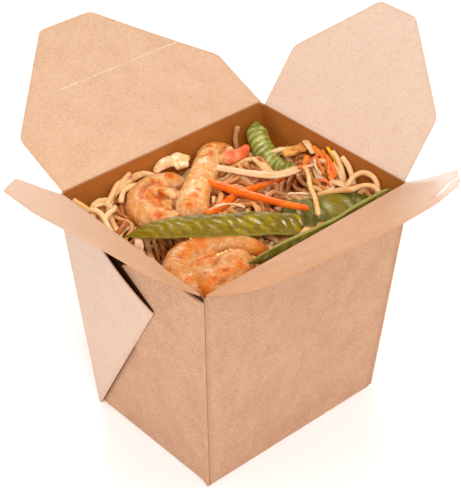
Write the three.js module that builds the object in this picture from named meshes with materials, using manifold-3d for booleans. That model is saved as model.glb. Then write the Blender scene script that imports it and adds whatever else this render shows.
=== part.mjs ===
// An open takeaway box of kraft board, folded from one sheet, full of fried noodles with shrimps, snow
// peas and carrot. Millimetres; X runs along the long walls, Y along the short ones and Z up. The origin
// is the middle of the base's underside.
import * as THREE from "three";
import { mergeVertices } from "three/addons/utils/BufferGeometryUtils.js";
import Module from "manifold-3d";

const wasm = await Module();
wasm.setup();
const { clamp, degToRad, lerp } = THREE.MathUtils;

// ---- Driving dimensions ----

const RIM = { length: 104, width: 84 };
const BASE = { length: 89, width: 68.5 };
const HEIGHT = 102.6;
const BOARD = 0.5; // thickness of the board
const GAP = 0.3; // clearance between two pieces of board, or food and board
const FOOD_GAP = 0.45; // clearance between two pieces of food

// Each corner's web is folded in two and laid on the short wall. Its fold runs from the foot of the
// corner to the tip, and its cut edge from the tip to the rim. tipPast and rimAcross are lengths from the
// middle of the wall, the tip's past it.
const GUSSET = { tipPast: 12.1, tipUp: 78.6, rimAcross: 22, rimDrop: 1.6 };
// How far the loose outer layer stands off at a share of its cut edge and at the rim.
const POCKET = { share: 0.6, lift: 1.8, rimLift: 0.7 };

// A flap's outline: straight sides to `sideReach`, then a taper to the tip. Its tilt is above the
// horizontal, outwards.
const LONG_FLAP = { half: 51, sideReach: 28.7, tipHalf: 13, reach: 70.7, rise: 1.25 };
const SHORT_FLAP = { half: 39.6, sideReach: 26.8, tipHalf: 9.4, reach: 58.1, rise: 0.55 };
const FLAP_CORNER = 2.5; // radius
const FLAP_TILT = { front: 37, back: 25.4, left: 39.5, right: 53.8 };
const SLIT = { width: 0.8, from: [44, 38.6], to: [18.7, 47.8] }; // across and out, in the front flap

const FOOD_TOP = HEIGHT - 1.9; // the closing flaps pass just above this height
const NOODLE_RADIUS = 1.15;
const STRAND_SEED = 11;
const RANDOM_STRANDS = { count: 28, rings: 11 };

// How a random strand wanders: lengths in mm, and turns in radians a step.
const WANDER = {
  spread: 1.2, // how far the starts reach, as a share of the heap's half sizes
  margin: 4, // kept clear of the walls
  steps: 9,
  step: 4.6,
  turn: 0.9,
  change: 0.5,
  depth: 1.2, // of both ends under the heap's surface
  lift: [0.8, 3.2],
};

// ---- Solids ----

// A closed geometry as a solid that can be joined and cut.
function solidOf(geometry) {
  const bare = new THREE.BufferGeometry();
  bare.setAttribute("position", geometry.attributes.position);
  bare.setIndex(geometry.index);
  const { attributes, index } = mergeVertices(bare, 1e-4);
  const triVerts = new Uint32Array(index.array);
  const vertProperties = attributes.position.array;
  return new wasm.Manifold(new wasm.Mesh({ numProp: 3, vertProperties, triVerts }));
}

function geometryOf(solid) {
  const { vertProperties, triVerts } = solid.getMesh();
  const geometry = new THREE.BufferGeometry();
  geometry.setAttribute("position", new THREE.BufferAttribute(vertProperties, 3));
  geometry.setIndex(new THREE.BufferAttribute(triVerts, 1));
  geometry.computeVertexNormals();
  return geometry;
}

const join = (solids) => solids.reduce((whole, solid) => whole.add(solid));

// The largest body of a solid, without the scraps that a cut leaves loose.
function mainBody(solid) {
  return solid.decompose().reduce((best, body) => (body.volume() > best.volume() ? body : best));
}

// ---- Materials ----

const finish = (color, roughness) => new THREE.MeshStandardMaterial({ color, roughness, metalness: 0 });
const KRAFT = finish(0xd8ab7c, 0.85);
const NOODLE = finish(0xcf9a5e, 0.45);
const SHRIMP = finish(0xf0a468, 0.4);
const POD = finish(0x8aa03c, 0.35);
const CARROT = finish(0xef7a1c, 0.4);
const PALE = finish(0xf0d9a8, 0.4);
const OMELETTE = finish(0xd08a3a, 0.55);

const box = new THREE.Group();

function add(name, geometry, material, parent = box) {
  const mesh = new THREE.Mesh(geometry, material);
  mesh.name = name;
  parent.add(mesh);
  return mesh;
}

// ---- Carton ----

const halfLength = (z) => lerp(BASE.length, RIM.length, z / HEIGHT) / 2;
const halfWidth = (z) => lerp(BASE.width, RIM.width, z / HEIGHT) / 2;

// The space between two heights, with the carton's taper, `inset` inside its outer faces.
function taperedBlock(inset, low, high) {
  const geometry = new THREE.BoxGeometry(1, 1, 1);
  const { position } = geometry.attributes;
  for (let i = 0; i < position.count; i++) {
    const z = position.getZ(i) < 0 ? low : high;
    const x = Math.sign(position.getX(i)) * (halfLength(z) - inset);
    const y = Math.sign(position.getY(i)) * (halfWidth(z) - inset);
    position.setXYZ(i, x, y, z);
  }
  return solidOf(geometry);
}

// A folded sheet on the left short wall. Its corners are [across, up, out]: towards the front along the
// wall, up its slope, and off its face to the sheet's outer side. Faces list corners anticlockwise seen
// from outside.
const wallLean = Math.atan2(halfLength(HEIGHT) - halfLength(0), HEIGHT);
const wallSlant = HEIGHT / Math.cos(wallLean);

function onShortWall([across, up, out]) {
  const x = -halfLength(0) - up * Math.sin(wallLean) - out * Math.cos(wallLean);
  return [x, -across, up * Math.cos(wallLean) - out * Math.sin(wallLean)];
}

function sheet(corners, faces, thickness) {
  const under = corners.map(([across, up, out]) => [across, up, out - thickness]);
  const count = corners.length;
  const open = new Set(faces.flatMap(([a, b, c]) => [`${a},${b}`, `${b},${c}`, `${c},${a}`]));
  const index = faces.flatMap(([a, b, c]) => [a, b, c, c + count, b + count, a + count]);
  for (const edge of open) {
    const [a, b] = edge.split(",").map(Number);
    if (!open.has(`${b},${a}`)) index.push(b, a, a + count, a + count, b + count, b);
  }
  const places = [...corners, ...under].flatMap(onShortWall);
  const geometry = new THREE.BufferGeometry();
  geometry.setAttribute("position", new THREE.Float32BufferAttribute(places, 3));
  geometry.setIndex(index);
  return geometry;
}

// One short wall's two webs: the front corner's lies flat, and the back corner's lies over it with its
// outer layer loose along the cut edge, which opens it as a pocket.
function gussets() {
  const sink = BOARD / 5; // how far each layer reaches into what it is folded onto
  const rimUp = wallSlant - GUSSET.rimDrop;
  const rimHalf = lerp(halfWidth(0), halfWidth(HEIGHT), rimUp / wallSlant);
  const web = (side, out) => [
    [side * halfWidth(0), 0, out],
    [side * rimHalf, rimUp, out],
    [side * GUSSET.rimAcross, rimUp, out],
    [-side * GUSSET.tipPast, GUSSET.tipUp, out],
  ];
  const lower = sheet(web(1, 2 * BOARD), [[0, 1, 2], [0, 2, 3]], 2 * BOARD + sink);
  const upper = sheet(web(-1, 3 * BOARD), [[0, 2, 1], [0, 3, 2]], 3 * BOARD + sink);
  const [foot, corner, rim, tip] = web(-1, 4 * BOARD);
  const middle = tip.map((value, i) => lerp(value, rim[i], POCKET.share));
  middle[2] += POCKET.lift;
  rim[2] += POCKET.rimLift;
  const loose = sheet([foot, corner, rim, tip, middle], [[0, 3, 4], [0, 4, 2], [0, 2, 1]], BOARD + sink);
  return [lower, upper, loose];
}

function carton() {
  const walls = taperedBlock(0, 0, HEIGHT).subtract(taperedBlock(BOARD, BOARD, HEIGHT + BOARD));
  const left = gussets();
  const right = gussets().map((geometry) => geometry.rotateZ(Math.PI));
  return join([walls, ...[...left, ...right].map(solidOf)]);
}

add("carton", geometryOf(carton()), KRAFT);

// ---- Flaps ----

// A polygon with each corner rounded, except the first and last, which are on the crease.
function roundedOutline(corners, radius) {
  const points = corners.map(([x, y]) => new THREE.Vector2(x, y));
  const shape = new THREE.Shape();
  shape.moveTo(points[0].x, points[0].y);
  for (let i = 1; i < points.length - 1; i++) {
    const here = points[i];
    const before = points[i - 1].clone().sub(here).setLength(radius).add(here);
    const after = points[i + 1].clone().sub(here).setLength(radius).add(here);
    shape.lineTo(before.x, before.y);
    shape.quadraticCurveTo(here.x, here.y, after.x, after.y);
  }
  shape.lineTo(points.at(-1).x, points.at(-1).y);
  return shape;
}

// A flap in its own frame: the crease along X, and Y outwards.
function flapPanel({ half, sideReach, tipHalf, reach }) {
  const side = (sign) => [[sign * half, GAP], [sign * half, sideReach], [sign * tipHalf, reach]];
  const outline = roundedOutline([...side(1), ...side(-1).reverse()], FLAP_CORNER);
  const options = { depth: BOARD, bevelEnabled: false, curveSegments: 3 };
  return new THREE.ExtrudeGeometry(outline, options).translate(0, 0, -BOARD / 2);
}

// The front flap's panel, with the slit that locks it cut in from each slanted edge.
function slitPanel(outline) {
  const [fromX, fromY] = SLIT.from;
  const [toX, toY] = SLIT.to;
  const length = Math.hypot(toX - fromX, toY - fromY);
  const cuts = [1, -1].map((sign) => {
    const cut = new THREE.BoxGeometry(length, SLIT.width, 4 * BOARD);
    cut.rotateZ(sign * Math.atan2(toY - fromY, toX - fromX));
    cut.translate((sign * (fromX + toX)) / 2, (fromY + toY) / 2, 0);
    return solidOf(cut);
  });
  return geometryOf(solidOf(flapPanel(outline)).subtract(join(cuts)));
}

// Each flap hangs on its own group, which stands on the crease and turns about it.
function addFlap(side, turn, distance, outline, panel) {
  const hinge = new THREE.Group();
  const outwards = turn + Math.PI / 2;
  hinge.position.set(distance * Math.cos(outwards), distance * Math.sin(outwards), HEIGHT + outline.rise);
  hinge.rotation.set(degToRad(FLAP_TILT[side]), 0, turn, "ZYX");
  box.add(hinge);
  add(`flap_${side}`, panel, KRAFT, hinge);
}

const longCrease = (RIM.width - BOARD) / 2;
const shortCrease = (RIM.length - BOARD) / 2;
addFlap("back", 0, longCrease, LONG_FLAP, flapPanel(LONG_FLAP));
addFlap("front", Math.PI, longCrease, LONG_FLAP, slitPanel(LONG_FLAP));
addFlap("left", Math.PI / 2, shortCrease, SHORT_FLAP, flapPanel(SHORT_FLAP));
addFlap("right", -Math.PI / 2, shortCrease, SHORT_FLAP, flapPanel(SHORT_FLAP));

// ---- Swept food ----

const UP = [0, 0, 1];

// A closed body along the smooth curve through `points`: a sphere whose poles are the curve's two ends.
// `section` gives its half width and half height at a share of the length, and `up` is the side that the
// height lies on.
function swept({ points, section, up = UP, sides = 6, rings = 10 }, clearance = 0) {
  const curve = new THREE.CatmullRomCurve3(points.map((point) => new THREE.Vector3(...point)));
  const geometry = new THREE.SphereGeometry(1, sides, rings);
  const { position } = geometry.attributes;
  const unit = new THREE.Vector3();
  for (let i = 0; i < position.count; i++) {
    unit.fromBufferAttribute(position, i);
    const share = Math.acos(clamp(unit.y, -1, 1)) / Math.PI;
    const along = curve.getTangentAt(share);
    const height = new THREE.Vector3(...up);
    height.addScaledVector(along, -height.dot(along)).normalize();
    const width = new THREE.Vector3().crossVectors(height, along);
    const radius = Math.hypot(unit.x, unit.z);
    const [w, h] = section(share);
    const place = curve.getPointAt(share);
    if (radius > 1e-6) {
      place.addScaledVector(width, (unit.x / radius) * (w + clearance));
      place.addScaledVector(height, (unit.z / radius) * (h + clearance));
    } else {
      place.addScaledVector(along, -Math.sign(unit.y) * clearance);
    }
    position.setXYZ(i, place.x, place.y, place.z);
  }
  return geometry;
}

const sweptSolid = (piece, clearance) => solidOf(swept(piece, clearance));

// A factor that rounds both ends off over the share `end` of the length.
function roundEnd(share, end) {
  const reach = clamp(Math.min(share, 1 - share) / end, 0, 1);
  return Math.sqrt(1 - (1 - reach) ** 2);
}

// Radii at evenly spaced shares of the length, joined by straight lines.
function graded(radii, share) {
  const place = share * (radii.length - 1);
  const low = Math.min(Math.floor(place), radii.length - 2);
  return lerp(radii[low], radii[low + 1], place - low);
}

// A shrimp's flesh: round, with a ridge at each body segment.
function flesh(points, radii, segments, rings = 17) {
  const section = (share) => {
    const ridge = 1 + 0.05 * Math.abs(Math.sin(Math.PI * segments * share));
    const radius = graded(radii, share) * ridge * roundEnd(share, 0.12);
    return [radius, radius * 0.92];
  };
  return { points, section, sides: 8, rings };
}

// A pod: pointed at both ends, thin, and raised over each pea.
function pod(points, halfBreadth, halfThickness, peas, up) {
  const section = (share) => {
    const outline = Math.sin(Math.PI * share) ** 0.55;
    const swell = 0.8 + 0.2 * Math.cos(2 * Math.PI * peas * share);
    return [halfBreadth * outline, halfThickness * outline * swell];
  };
  return { points, section, up, sides: 8, rings: 20 };
}

// A cut stick or shred: four-sided, a little thinner at its ends.
function cutStick(points, halfBreadth, halfThickness, up = UP) {
  const section = (share) => {
    const outline = roundEnd(share, 0.12);
    return [halfBreadth * outline, halfThickness * outline];
  };
  return { points, section, up, sides: 4, rings: 12 };
}

// A round strand: a noodle or a bean sprout.
function strand(points, radius = NOODLE_RADIUS, rings = 16) {
  return { points, section: () => [radius, radius], sides: 5, rings };
}

// ---- Toppings ----

// Topmost first: each is cut back from those before it by the clearance. A topping may have several
// fused parts.
const TOPPINGS = [
  {
    name: "snow_pea_long",
    material: POD,
    parts: [
      pod(
        [
          [-45, 11, 96], [-37, 6, 97.5], [-28, 0, 98], [-18, -8, 98], [-7, -15, 97.5], [2, -22, 97],
          [10, -28, 96],
        ],
        6.2, 2, 7, [-0.2, -0.25, 1],
      ),
    ],
  },
  {
    name: "shrimp_front",
    material: SHRIMP,
    parts: [
      flesh(
        [
          [-6.5, -25.4, 91], [-12, -20, 92], [-18, -13.4, 92.4], [-25, -9.6, 92], [-33, -8.6, 91.5],
          [-40, -12.5, 91], [-42.5, -20.5, 90], [-41, -29, 90],
        ],
        [3.4, 4.2, 4.6, 5.2, 5.8, 6, 5.6, 5], 6,
      ),
      flesh(
        [[-40, -31, 89.5], [-32, -29.5, 91], [-24.5, -27, 92], [-17.4, -25.2, 91.6]],
        [5, 6.8, 7.4, 6.4], 3, 10,
      ),
      flesh([[-38, -17, 90], [-31, -19, 91], [-24, -21, 90.5]], [5, 6, 5], 1, 7),
    ],
  },
  {
    name: "shrimp_back",
    material: SHRIMP,
    parts: [
      flesh(
        [
          [-17, 7, 94.5], [-7, 16, 95], [5, 25, 95], [13, 32, 94.2], [18.6, 35.4, 94], [23, 33.6, 94],
          [25.6, 28, 94],
        ],
        [6, 6, 5.8, 5.2, 4.2, 3.4, 3], 6,
      ),
      cutStick([[23.5, 30, 94], [28, 27.6, 95.4], [33, 30.4, 97.2]], 4, 1.2),
    ],
  },
  {
    name: "shrimp_left",
    material: SHRIMP,
    parts: [
      flesh(
        [
          [0, 30, 91.5], [-6, 33.5, 92], [-13, 34.5, 92.5], [-20, 32, 93], [-26, 26, 92.5], [-27, 18.5, 92],
          [-22, 13.5, 91], [-14.5, 13, 90],
        ],
        [4, 4.6, 5.2, 5.8, 6, 5.8, 5.2, 4], 6,
      ),
      flesh([[-22, 27, 91], [-16, 24, 91.6], [-10, 20, 91], [-5, 18, 90]], [5, 6, 5.6, 4], 2, 9),
      flesh([[-20, 31, 93], [-15, 28, 94.5], [-11, 22, 95]], [3, 3, 2.4], 2, 8),
    ],
  },
  {
    name: "bean_sprout_right",
    material: PALE,
    parts: [strand([[38, 1, 96], [33, -6, 97.6], [28, -12, 98], [23, -20, 98], [17, -28, 97]])],
  },
  {
    name: "carrot_stick_long",
    material: CARROT,
    parts: [cutStick([[0, 18, 98], [4, 5, 98], [8, -6, 98], [12, -15, 98], [17, -23, 97.6]], 1.7, 1.5)],
  },
  {
    name: "onion_strip",
    material: PALE,
    parts: [
      cutStick(
        [[9, 26, 97], [14, 19, 96], [19, 12, 95.5], [25, 6, 95], [31, 4, 94.5], [39, 5, 93.5]],
        2.2, 1.2,
      ),
    ],
  },
  {
    name: "carrot_stick_short",
    material: CARROT,
    parts: [
      cutStick([[-14, 1, 97], [-4, 3, 95], [7, 7, 93], [18, 7, 91], [29, 6, 89.5], [40, 8, 89]], 1.7, 1.5),
    ],
  },
  {
    name: "snow_pea_right",
    material: POD,
    parts: [
      pod([[13, -13, 91.7], [20, -20, 92.2], [28, -24.5, 92.7], [36, -27, 92.7], [46, -29, 92.2]],
        7.4, 2, 4, [-0.1, -0.35, 1]),
    ],
  },
  {
    name: "snow_pea_wall",
    material: POD,
    parts: [
      pod(
        [
          [-25, -34, 98.4], [-14, -34.5, 96.4], [0, -35, 94.2], [15, -35.4, 93], [34, -36, 94.6],
          [48, -36.4, 98.6],
        ],
        6, 1.7, 6, [0, 1, 0],
      ),
    ],
  },
  {
    name: "snow_pea_corner",
    material: POD,
    parts: [
      pod(
        [
          [45.4, 38.4, 98], [42.4, 34.4, 95], [39.4, 27.4, 92], [37.4, 20.4, 90], [37.4, 13.4, 89],
          [39.4, 7.4, 90],
        ],
        5, 3.2, 4, [-0.5, -0.4, 0.8],
      ),
    ],
  },
  {
    name: "omelette_strip",
    material: OMELETTE,
    parts: [cutStick([[39, 15, 95], [44, 13.5, 95.6], [49.5, 12, 96]], 2.6, 1.5)],
  },
  {
    name: "omelette_curl",
    material: PALE,
    parts: [
      flesh([[-8, 37.5, 97.5], [-2, 38, 98.3], [3, 36, 98.3], [8, 33, 98]], [1.6, 2.4, 2.4, 1.6], 2, 9),
    ],
  },
  {
    name: "carrot_shred_1",
    material: CARROT,
    parts: [cutStick([[49.5, 9, 97.5], [47.5, 2, 97.5], [44, -6, 96.5], [41, -11, 94]], 1.8, 0.9)],
  },
  {
    name: "onion_shred_1",
    material: PALE,
    parts: [cutStick([[44, 3, 95.5], [40.5, -3, 95], [38, -8, 93]], 1.7, 1)],
  },
  {
    name: "carrot_shred_2",
    material: CARROT,
    parts: [cutStick([[39.5, 3, 92], [43, 6, 93], [47, 9, 94]], 1.5, 0.9)],
  },
  {
    name: "carrot_shred_3",
    material: CARROT,
    parts: [cutStick([[50, 2, 95.5], [48.5, -3, 95.5], [46, -10, 94]], 1.6, 0.9)],
  },
  {
    name: "onion_shred_2",
    material: PALE,
    parts: [cutStick([[37, -14, 92], [40, -12.5, 94.4], [41, -17, 95.2], [41, -22, 94.6]], 1.8, 0.9)],
  },
  {
    name: "onion_shred_3",
    material: PALE,
    parts: [cutStick([[50, 14, 97.6], [48.6, 10.5, 97.8], [46.4, 5, 97]], 1.5, 0.9)],
  },
  {
    name: "bean_sprout_left",
    material: PALE,
    parts: [strand([[-48, 39.5, 99.6], [-47.5, 37, 99], [-46.5, 34, 98], [-44, 30, 95.5]], 1.2, 10)],
  },
];

// The space that the food may fill: inside the walls, and below the closing flaps.
const foodSpace = taperedBlock(BOARD + GAP, BOARD + GAP, FOOD_TOP);

const keepClear = [];
for (const { name, material, parts } of TOPPINGS) {
  let piece = join(parts.map((part) => sweptSolid(part))).intersect(foodSpace);
  for (const neighbour of keepClear) piece = piece.subtract(neighbour);
  add(name, geometryOf(mainBody(piece)), material);
  keepClear.push(...parts.map((part) => sweptSolid(part, FOOD_GAP)));
}

// ---- Noodles ----

// The heap's bare surface: a level with rises and hollows, each [x, y, height, spread].
const HEAP_LEVEL = 88.5;
const HEAP_GRID = [12, 10]; // cells along X and Y
const HEAP_SHAPE = [
  [-45, 30, 6, 9],
  [46, -22, 4, 9],
  [44, 2, 4, 8],
  [-44, 8, 2, 8],
  [38, 37, -5, 12],
  [-31, 3, -5, 6],
  [-6, -24, -3, 6],
  [6, 18, -2, 6],
];

function heapHeight(x, y) {
  const bump = ([cx, cy, height, spread]) => {
    const distance = Math.hypot(x - cx, y - cy);
    return height * Math.exp(-0.5 * (distance / spread) ** 2);
  };
  return HEAP_SHAPE.reduce((height, shape) => height + bump(shape), HEAP_LEVEL);
}

// The noodles' core: the filled inside of the box up to the bare surface.
function heapCore() {
  const floor = BOARD + GAP;
  const geometry = new THREE.BoxGeometry(1, 1, 1, ...HEAP_GRID, 1);
  const { position } = geometry.attributes;
  for (let i = 0; i < position.count; i++) {
    const x = 2 * position.getX(i);
    const y = 2 * position.getY(i);
    const top = heapHeight(x * halfLength(HEAP_LEVEL), y * halfWidth(HEAP_LEVEL));
    const z = position.getZ(i) < 0 ? floor : top;
    position.setXYZ(i, x * (halfLength(z) - BOARD - GAP), y * (halfWidth(z) - BOARD - GAP), z);
  }
  return solidOf(geometry);
}

// Strands that stand out of the heap: loops in the corners, and ends that lean on a wall.
const SHOWN_STRANDS = [
  [
    [41, -19, 93], [44, -17.5, 96], [47, -18, 97.6], [49.4, -21, 98.4], [49.4, -25.5, 98.2], [47, -31, 97],
    [43, -34, 93],
  ],
  [[29, -13, 92], [36, -19, 97], [41, -24, 98], [45, -27.5, 98], [48, -32, 96.5], [46, -36, 92]],
  [[49.6, -1, 100], [49.4, -5, 98], [47, -10, 94], [42, -14, 91]],
  [[49.6, -6, 100], [49.4, -11, 97.5], [48.6, -15, 94], [46, -19, 90]],
  [
    [-47, 34, 94], [-46.5, 32, 97.6], [-45.4, 29, 98.8], [-45, 26, 98.4], [-46, 22, 97.4], [-46.4, 17, 94],
    [-44, 13, 91],
  ],
  [[-20, 39.4, 100.2], [-24, 39.2, 98], [-29, 38, 95.5], [-35, 34, 94], [-40, 27, 94], [-42, 20, 92]],
  [[-28, 38.6, 96], [-22, 39.2, 97.2], [-16, 39.4, 97.6], [-10, 38.6, 95], [-6, 35, 90]],
  [[36, 39, 99], [34, 38.4, 94], [33, 36, 89], [30, 33, 86]],
  [[-36, 13, 93], [-38.5, 10, 90], [-40, 8, 86], [-40, 3, 83]],
  [[-3, -20, 90], [4, -25, 93], [9, -29, 95.6], [8, -33, 98.6], [4.6, -34.4, 99], [2.4, -33.4, 97]],
  [[34, 22, 88], [39, 21.5, 92.6], [44, 19, 93.5], [48, 15, 91]],
  [[-46, -4, 88], [-44, -8, 92], [-42, -6, 92.5], [-37, -2, 88]],
];

// A seeded source of numbers from 0 to 1.
function randomSource(seed) {
  let state = seed;
  return () => {
    state = (state + 0x6d2b79f5) | 0;
    let mixed = Math.imul(state ^ (state >>> 15), 1 | state);
    mixed = (mixed + Math.imul(mixed ^ (mixed >>> 7), 61 | mixed)) ^ mixed;
    return ((mixed ^ (mixed >>> 14)) >>> 0) / 4294967296;
  };
}

// Strands spread evenly over the heap: each starts on a spiral over the surface, wanders with a slowly
// changing turn, and dives at both ends.
function randomStrands(count) {
  const random = randomSource(STRAND_SEED);
  const goldenAngle = Math.PI * (3 - Math.sqrt(5));
  const { spread, margin, steps, step, depth, lift } = WANDER;
  const edge = { x: halfLength(HEAP_LEVEL) - margin, y: halfWidth(HEAP_LEVEL) - margin };
  return Array.from({ length: count }, (_, i) => {
    const out = spread * Math.sqrt((i + 0.5) / count);
    let x = clamp(edge.x * out * Math.cos(i * goldenAngle), -edge.x, edge.x);
    let y = clamp(edge.y * out * Math.sin(i * goldenAngle), -edge.y, edge.y);
    let heading = random() * 2 * Math.PI;
    let turn = (random() - 0.5) * WANDER.turn;
    const rise = lerp(lift[0], lift[1], random());
    return Array.from({ length: steps }, (_, place) => {
      const point = [x, y, heapHeight(x, y) - depth + rise * Math.sin((Math.PI * place) / (steps - 1))];
      turn += (random() - 0.5) * WANDER.change;
      heading += turn;
      x = clamp(x + step * Math.cos(heading), -edge.x, edge.x);
      y = clamp(y + step * Math.sin(heading), -edge.y, edge.y);
      return point;
    });
  });
}

function noodles() {
  const shown = SHOWN_STRANDS.map((points) => strand(points));
  const { count, rings } = RANDOM_STRANDS;
  const random = randomStrands(count).map((points) => strand(points, NOODLE_RADIUS, rings));
  const strands = [...shown, ...random].map((piece) => sweptSolid(piece));
  const heap = join([heapCore(), ...strands]).intersect(foodSpace);
  return mainBody(heap.subtract(join(keepClear)));
}

add("noodles", geometryOf(noodles()), NOODLE);

export default box;
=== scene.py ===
# An open takeaway box of kraft board, full of fried noodles with shrimps, snow peas and carrot, on a pale
# floor in soft studio light. Lengths are millimetres, apart from those of the floor's half size, the lights
# and the camera's clipping, which are metres. make_object writes every mesh in metres.
import math

import bpy
import numpy as np
from mathutils import Matrix, Vector
from mathutils.bvhtree import BVHTree
from mathutils.geometry import delaunay_2d_cdt


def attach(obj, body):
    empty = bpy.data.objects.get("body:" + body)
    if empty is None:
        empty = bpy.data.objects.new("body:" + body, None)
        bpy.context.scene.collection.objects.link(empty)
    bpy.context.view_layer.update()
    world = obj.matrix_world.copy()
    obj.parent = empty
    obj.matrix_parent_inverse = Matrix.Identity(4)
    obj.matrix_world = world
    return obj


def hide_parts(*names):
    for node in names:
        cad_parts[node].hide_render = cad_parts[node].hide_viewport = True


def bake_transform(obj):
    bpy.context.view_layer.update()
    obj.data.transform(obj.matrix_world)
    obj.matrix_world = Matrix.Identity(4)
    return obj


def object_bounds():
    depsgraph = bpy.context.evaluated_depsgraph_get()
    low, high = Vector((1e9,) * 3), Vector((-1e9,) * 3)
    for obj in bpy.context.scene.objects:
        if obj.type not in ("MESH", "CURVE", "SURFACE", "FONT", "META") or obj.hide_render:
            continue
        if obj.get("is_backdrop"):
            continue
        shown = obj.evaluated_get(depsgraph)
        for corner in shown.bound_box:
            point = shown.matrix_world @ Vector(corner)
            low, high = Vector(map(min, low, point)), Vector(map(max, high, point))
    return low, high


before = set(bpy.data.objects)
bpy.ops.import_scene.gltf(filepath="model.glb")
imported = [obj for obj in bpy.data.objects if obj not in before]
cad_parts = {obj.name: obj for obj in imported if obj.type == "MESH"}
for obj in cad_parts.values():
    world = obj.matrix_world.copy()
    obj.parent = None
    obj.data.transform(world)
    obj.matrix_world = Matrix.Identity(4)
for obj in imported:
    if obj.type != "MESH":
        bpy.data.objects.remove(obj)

CAD_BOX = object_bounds()
MM = 0.001
UP = np.array([0.0, 0.0, 1.0])

# ---- Driving dimensions ----

RIM_HALF = np.array([52.0, 42.0])  # half length and half width at the rim, outside
BASE_HALF = np.array([44.5, 34.25])
HEIGHT = 102.6
BOARD = 0.5  # thickness of the board
BOARD_SHARP = 40  # degrees between two faces of board that make a sharp edge
FOOD_TOP = HEIGHT - 1.9  # the closing flaps pass just above this height

# Each corner's web is folded flat onto the short wall: see the same names in the part's source.
GUSSET = {"tip_past": 12.1, "tip_up": 78.6, "rim_across": 22, "rim_drop": 1.6}
LOWER_GUSSET = {**GUSSET, "tip_past": 23.3, "rim_across": 10.8}  # the web that lies under the other
POCKET = {"share": 0.6, "lift": 1.8, "rim_lift": 0.7}

LONG_FLAP = {"half": 51, "side_reach": 28.7, "tip_half": 13, "reach": 70.7, "rise": 1.25}
SHORT_FLAP = {"half": 39.6, "side_reach": 26.8, "tip_half": 9.4, "reach": 58.1, "rise": 0.55}
FLAP_CORNER = 2.5
FLAP_TILT = {"front": 37, "back": 25.4, "left": 39.5, "right": 53.8}  # degrees above the horizontal
FLAP_BOW = {"front": 2.2, "back": 1.3, "left": 0.2, "right": 0.3}  # how far the middle sags
TIP_CURL = 2.4  # how far the front flap's right end curls up
HOOK_DROP = 0.6  # how far the hook outside the lock's slit hangs back there
SLIT = {"width": 1.4, "from": (36, 47.2), "to": (11, 56.8)}
FRONT_DIP = 2.8  # how far the rim sinks towards the corner between the front and left flaps
FRONT_TIP_ROUNDS = (3, 20)  # radii at the front flap's tip: its left corner, and its right one
FOLD_LINE = 42  # a faint fold across the back flap, this far out from its crease
SUNKEN_SIDES = {"front": (0, -1, 0), "left": (-1, 0, 0)}  # the flaps on it, and outwards from each
BEND_REACH = (0.1, 1.3)  # past the crease: the places given for the bend of a flap on the sunken rim; the bend is not made
GREASE_AND_SHADE = {"front": 0.17, "left": 0.12, "back": 0.02, "right": 0}  # how far each flap is darkened: a grease stain and painted shade
SAUCE_AND_SHADE_REACH = 26  # the inner walls' darkening, a sauce stain and painted shade, is deepest this far below the rim
DARK_FROM = 86  # above this height a short wall is painted with shade, as it lies in the dark behind its webs
DARK_FADE = 3
LOOSE_FIT = 0.3  # between the board and the core that fills the box

NOODLE_RADIUS = 1.15
STRAND_PITCH = 2.35  # between the middles of strands that run side by side

# The picture's camera: turned from the front towards the left, and raised, in degrees; place in mm.
CAMERA = {"azimuth": -41.3875, "elevation": 35.3994, "roll": 0.3528, "place": (-321.233, -361.320, 420.681)}
FOCAL_PIXELS = 1514.62  # for a picture 488 pixels high
PICTURE_HEIGHT = 488
SENSOR = 36  # mm, along the picture's long side


# ---- Meshes ----


class Shape:
    """A mesh in the making: places in mm, faces, and for each named field one value for each place."""

    def __init__(self, places, faces, **fields):
        self.places = np.asarray(places, float)
        self.faces = faces
        self.fields = fields

    def with_fields(self, **fields):
        """The shape with more fields, each one value for every place or one for all of them."""
        for name, values in fields.items():
            self.fields[name] = np.broadcast_to(values, len(self.places)).astype(float)
        return self


def joined(shapes):
    """Several shapes as one, with the fields that all of them have."""
    faces = []
    start = 0
    for shape in shapes:
        faces += [tuple(corner + start for corner in face) for face in shape.faces]
        start += len(shape.places)
    names = [name for name in shapes[0].fields if all(name in shape.fields for shape in shapes)]
    fields = {name: np.concatenate([shape.fields[name] for shape in shapes]) for name in names}
    return Shape(np.vstack([shape.places for shape in shapes]), faces, **fields)


def make_object(name, shape, sharp_degrees=None):
    mesh = bpy.data.meshes.new(name)
    mesh.from_pydata((shape.places * MM).tolist(), [], shape.faces)
    mesh.update()
    mesh.shade_smooth()
    if sharp_degrees:
        mesh.set_sharp_from_angle(angle=math.radians(sharp_degrees))
    for field, values in shape.fields.items():
        is_vector = values.ndim == 2
        attribute = mesh.attributes.new(field, "FLOAT_VECTOR" if is_vector else "FLOAT", "POINT")
        attribute.data.foreach_set("vector" if is_vector else "value", values.ravel())
    piece = bpy.data.objects.new(name, mesh)
    bpy.context.scene.collection.objects.link(piece)
    return piece


def add_piece(name, shape, material, stands_for=(), body="box", sharp_degrees=None, bends=None):
    """Adds a piece that rides on a body, or, given `bends`, one that is left in place and rides on no body;
    the places in `bends` are not used.
    """
    piece = make_object(name, shape, sharp_degrees)
    piece.data.materials.append(material)
    if bends:
        [tuple(np.array(place) * MM) for place in bends]
        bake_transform(piece)
    else:
        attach(piece, body)
    if stands_for:
        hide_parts(*stands_for)


def ring_faces(rings, sides, start=0):
    """Quads between rings of `sides` places that follow each other."""
    corner = lambda ring, side: start + ring * sides + side % sides
    return [
        (corner(i, j), corner(i, j + 1), corner(i + 1, j + 1), corner(i + 1, j))
        for i in range(rings - 1)
        for j in range(sides)
    ]


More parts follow.
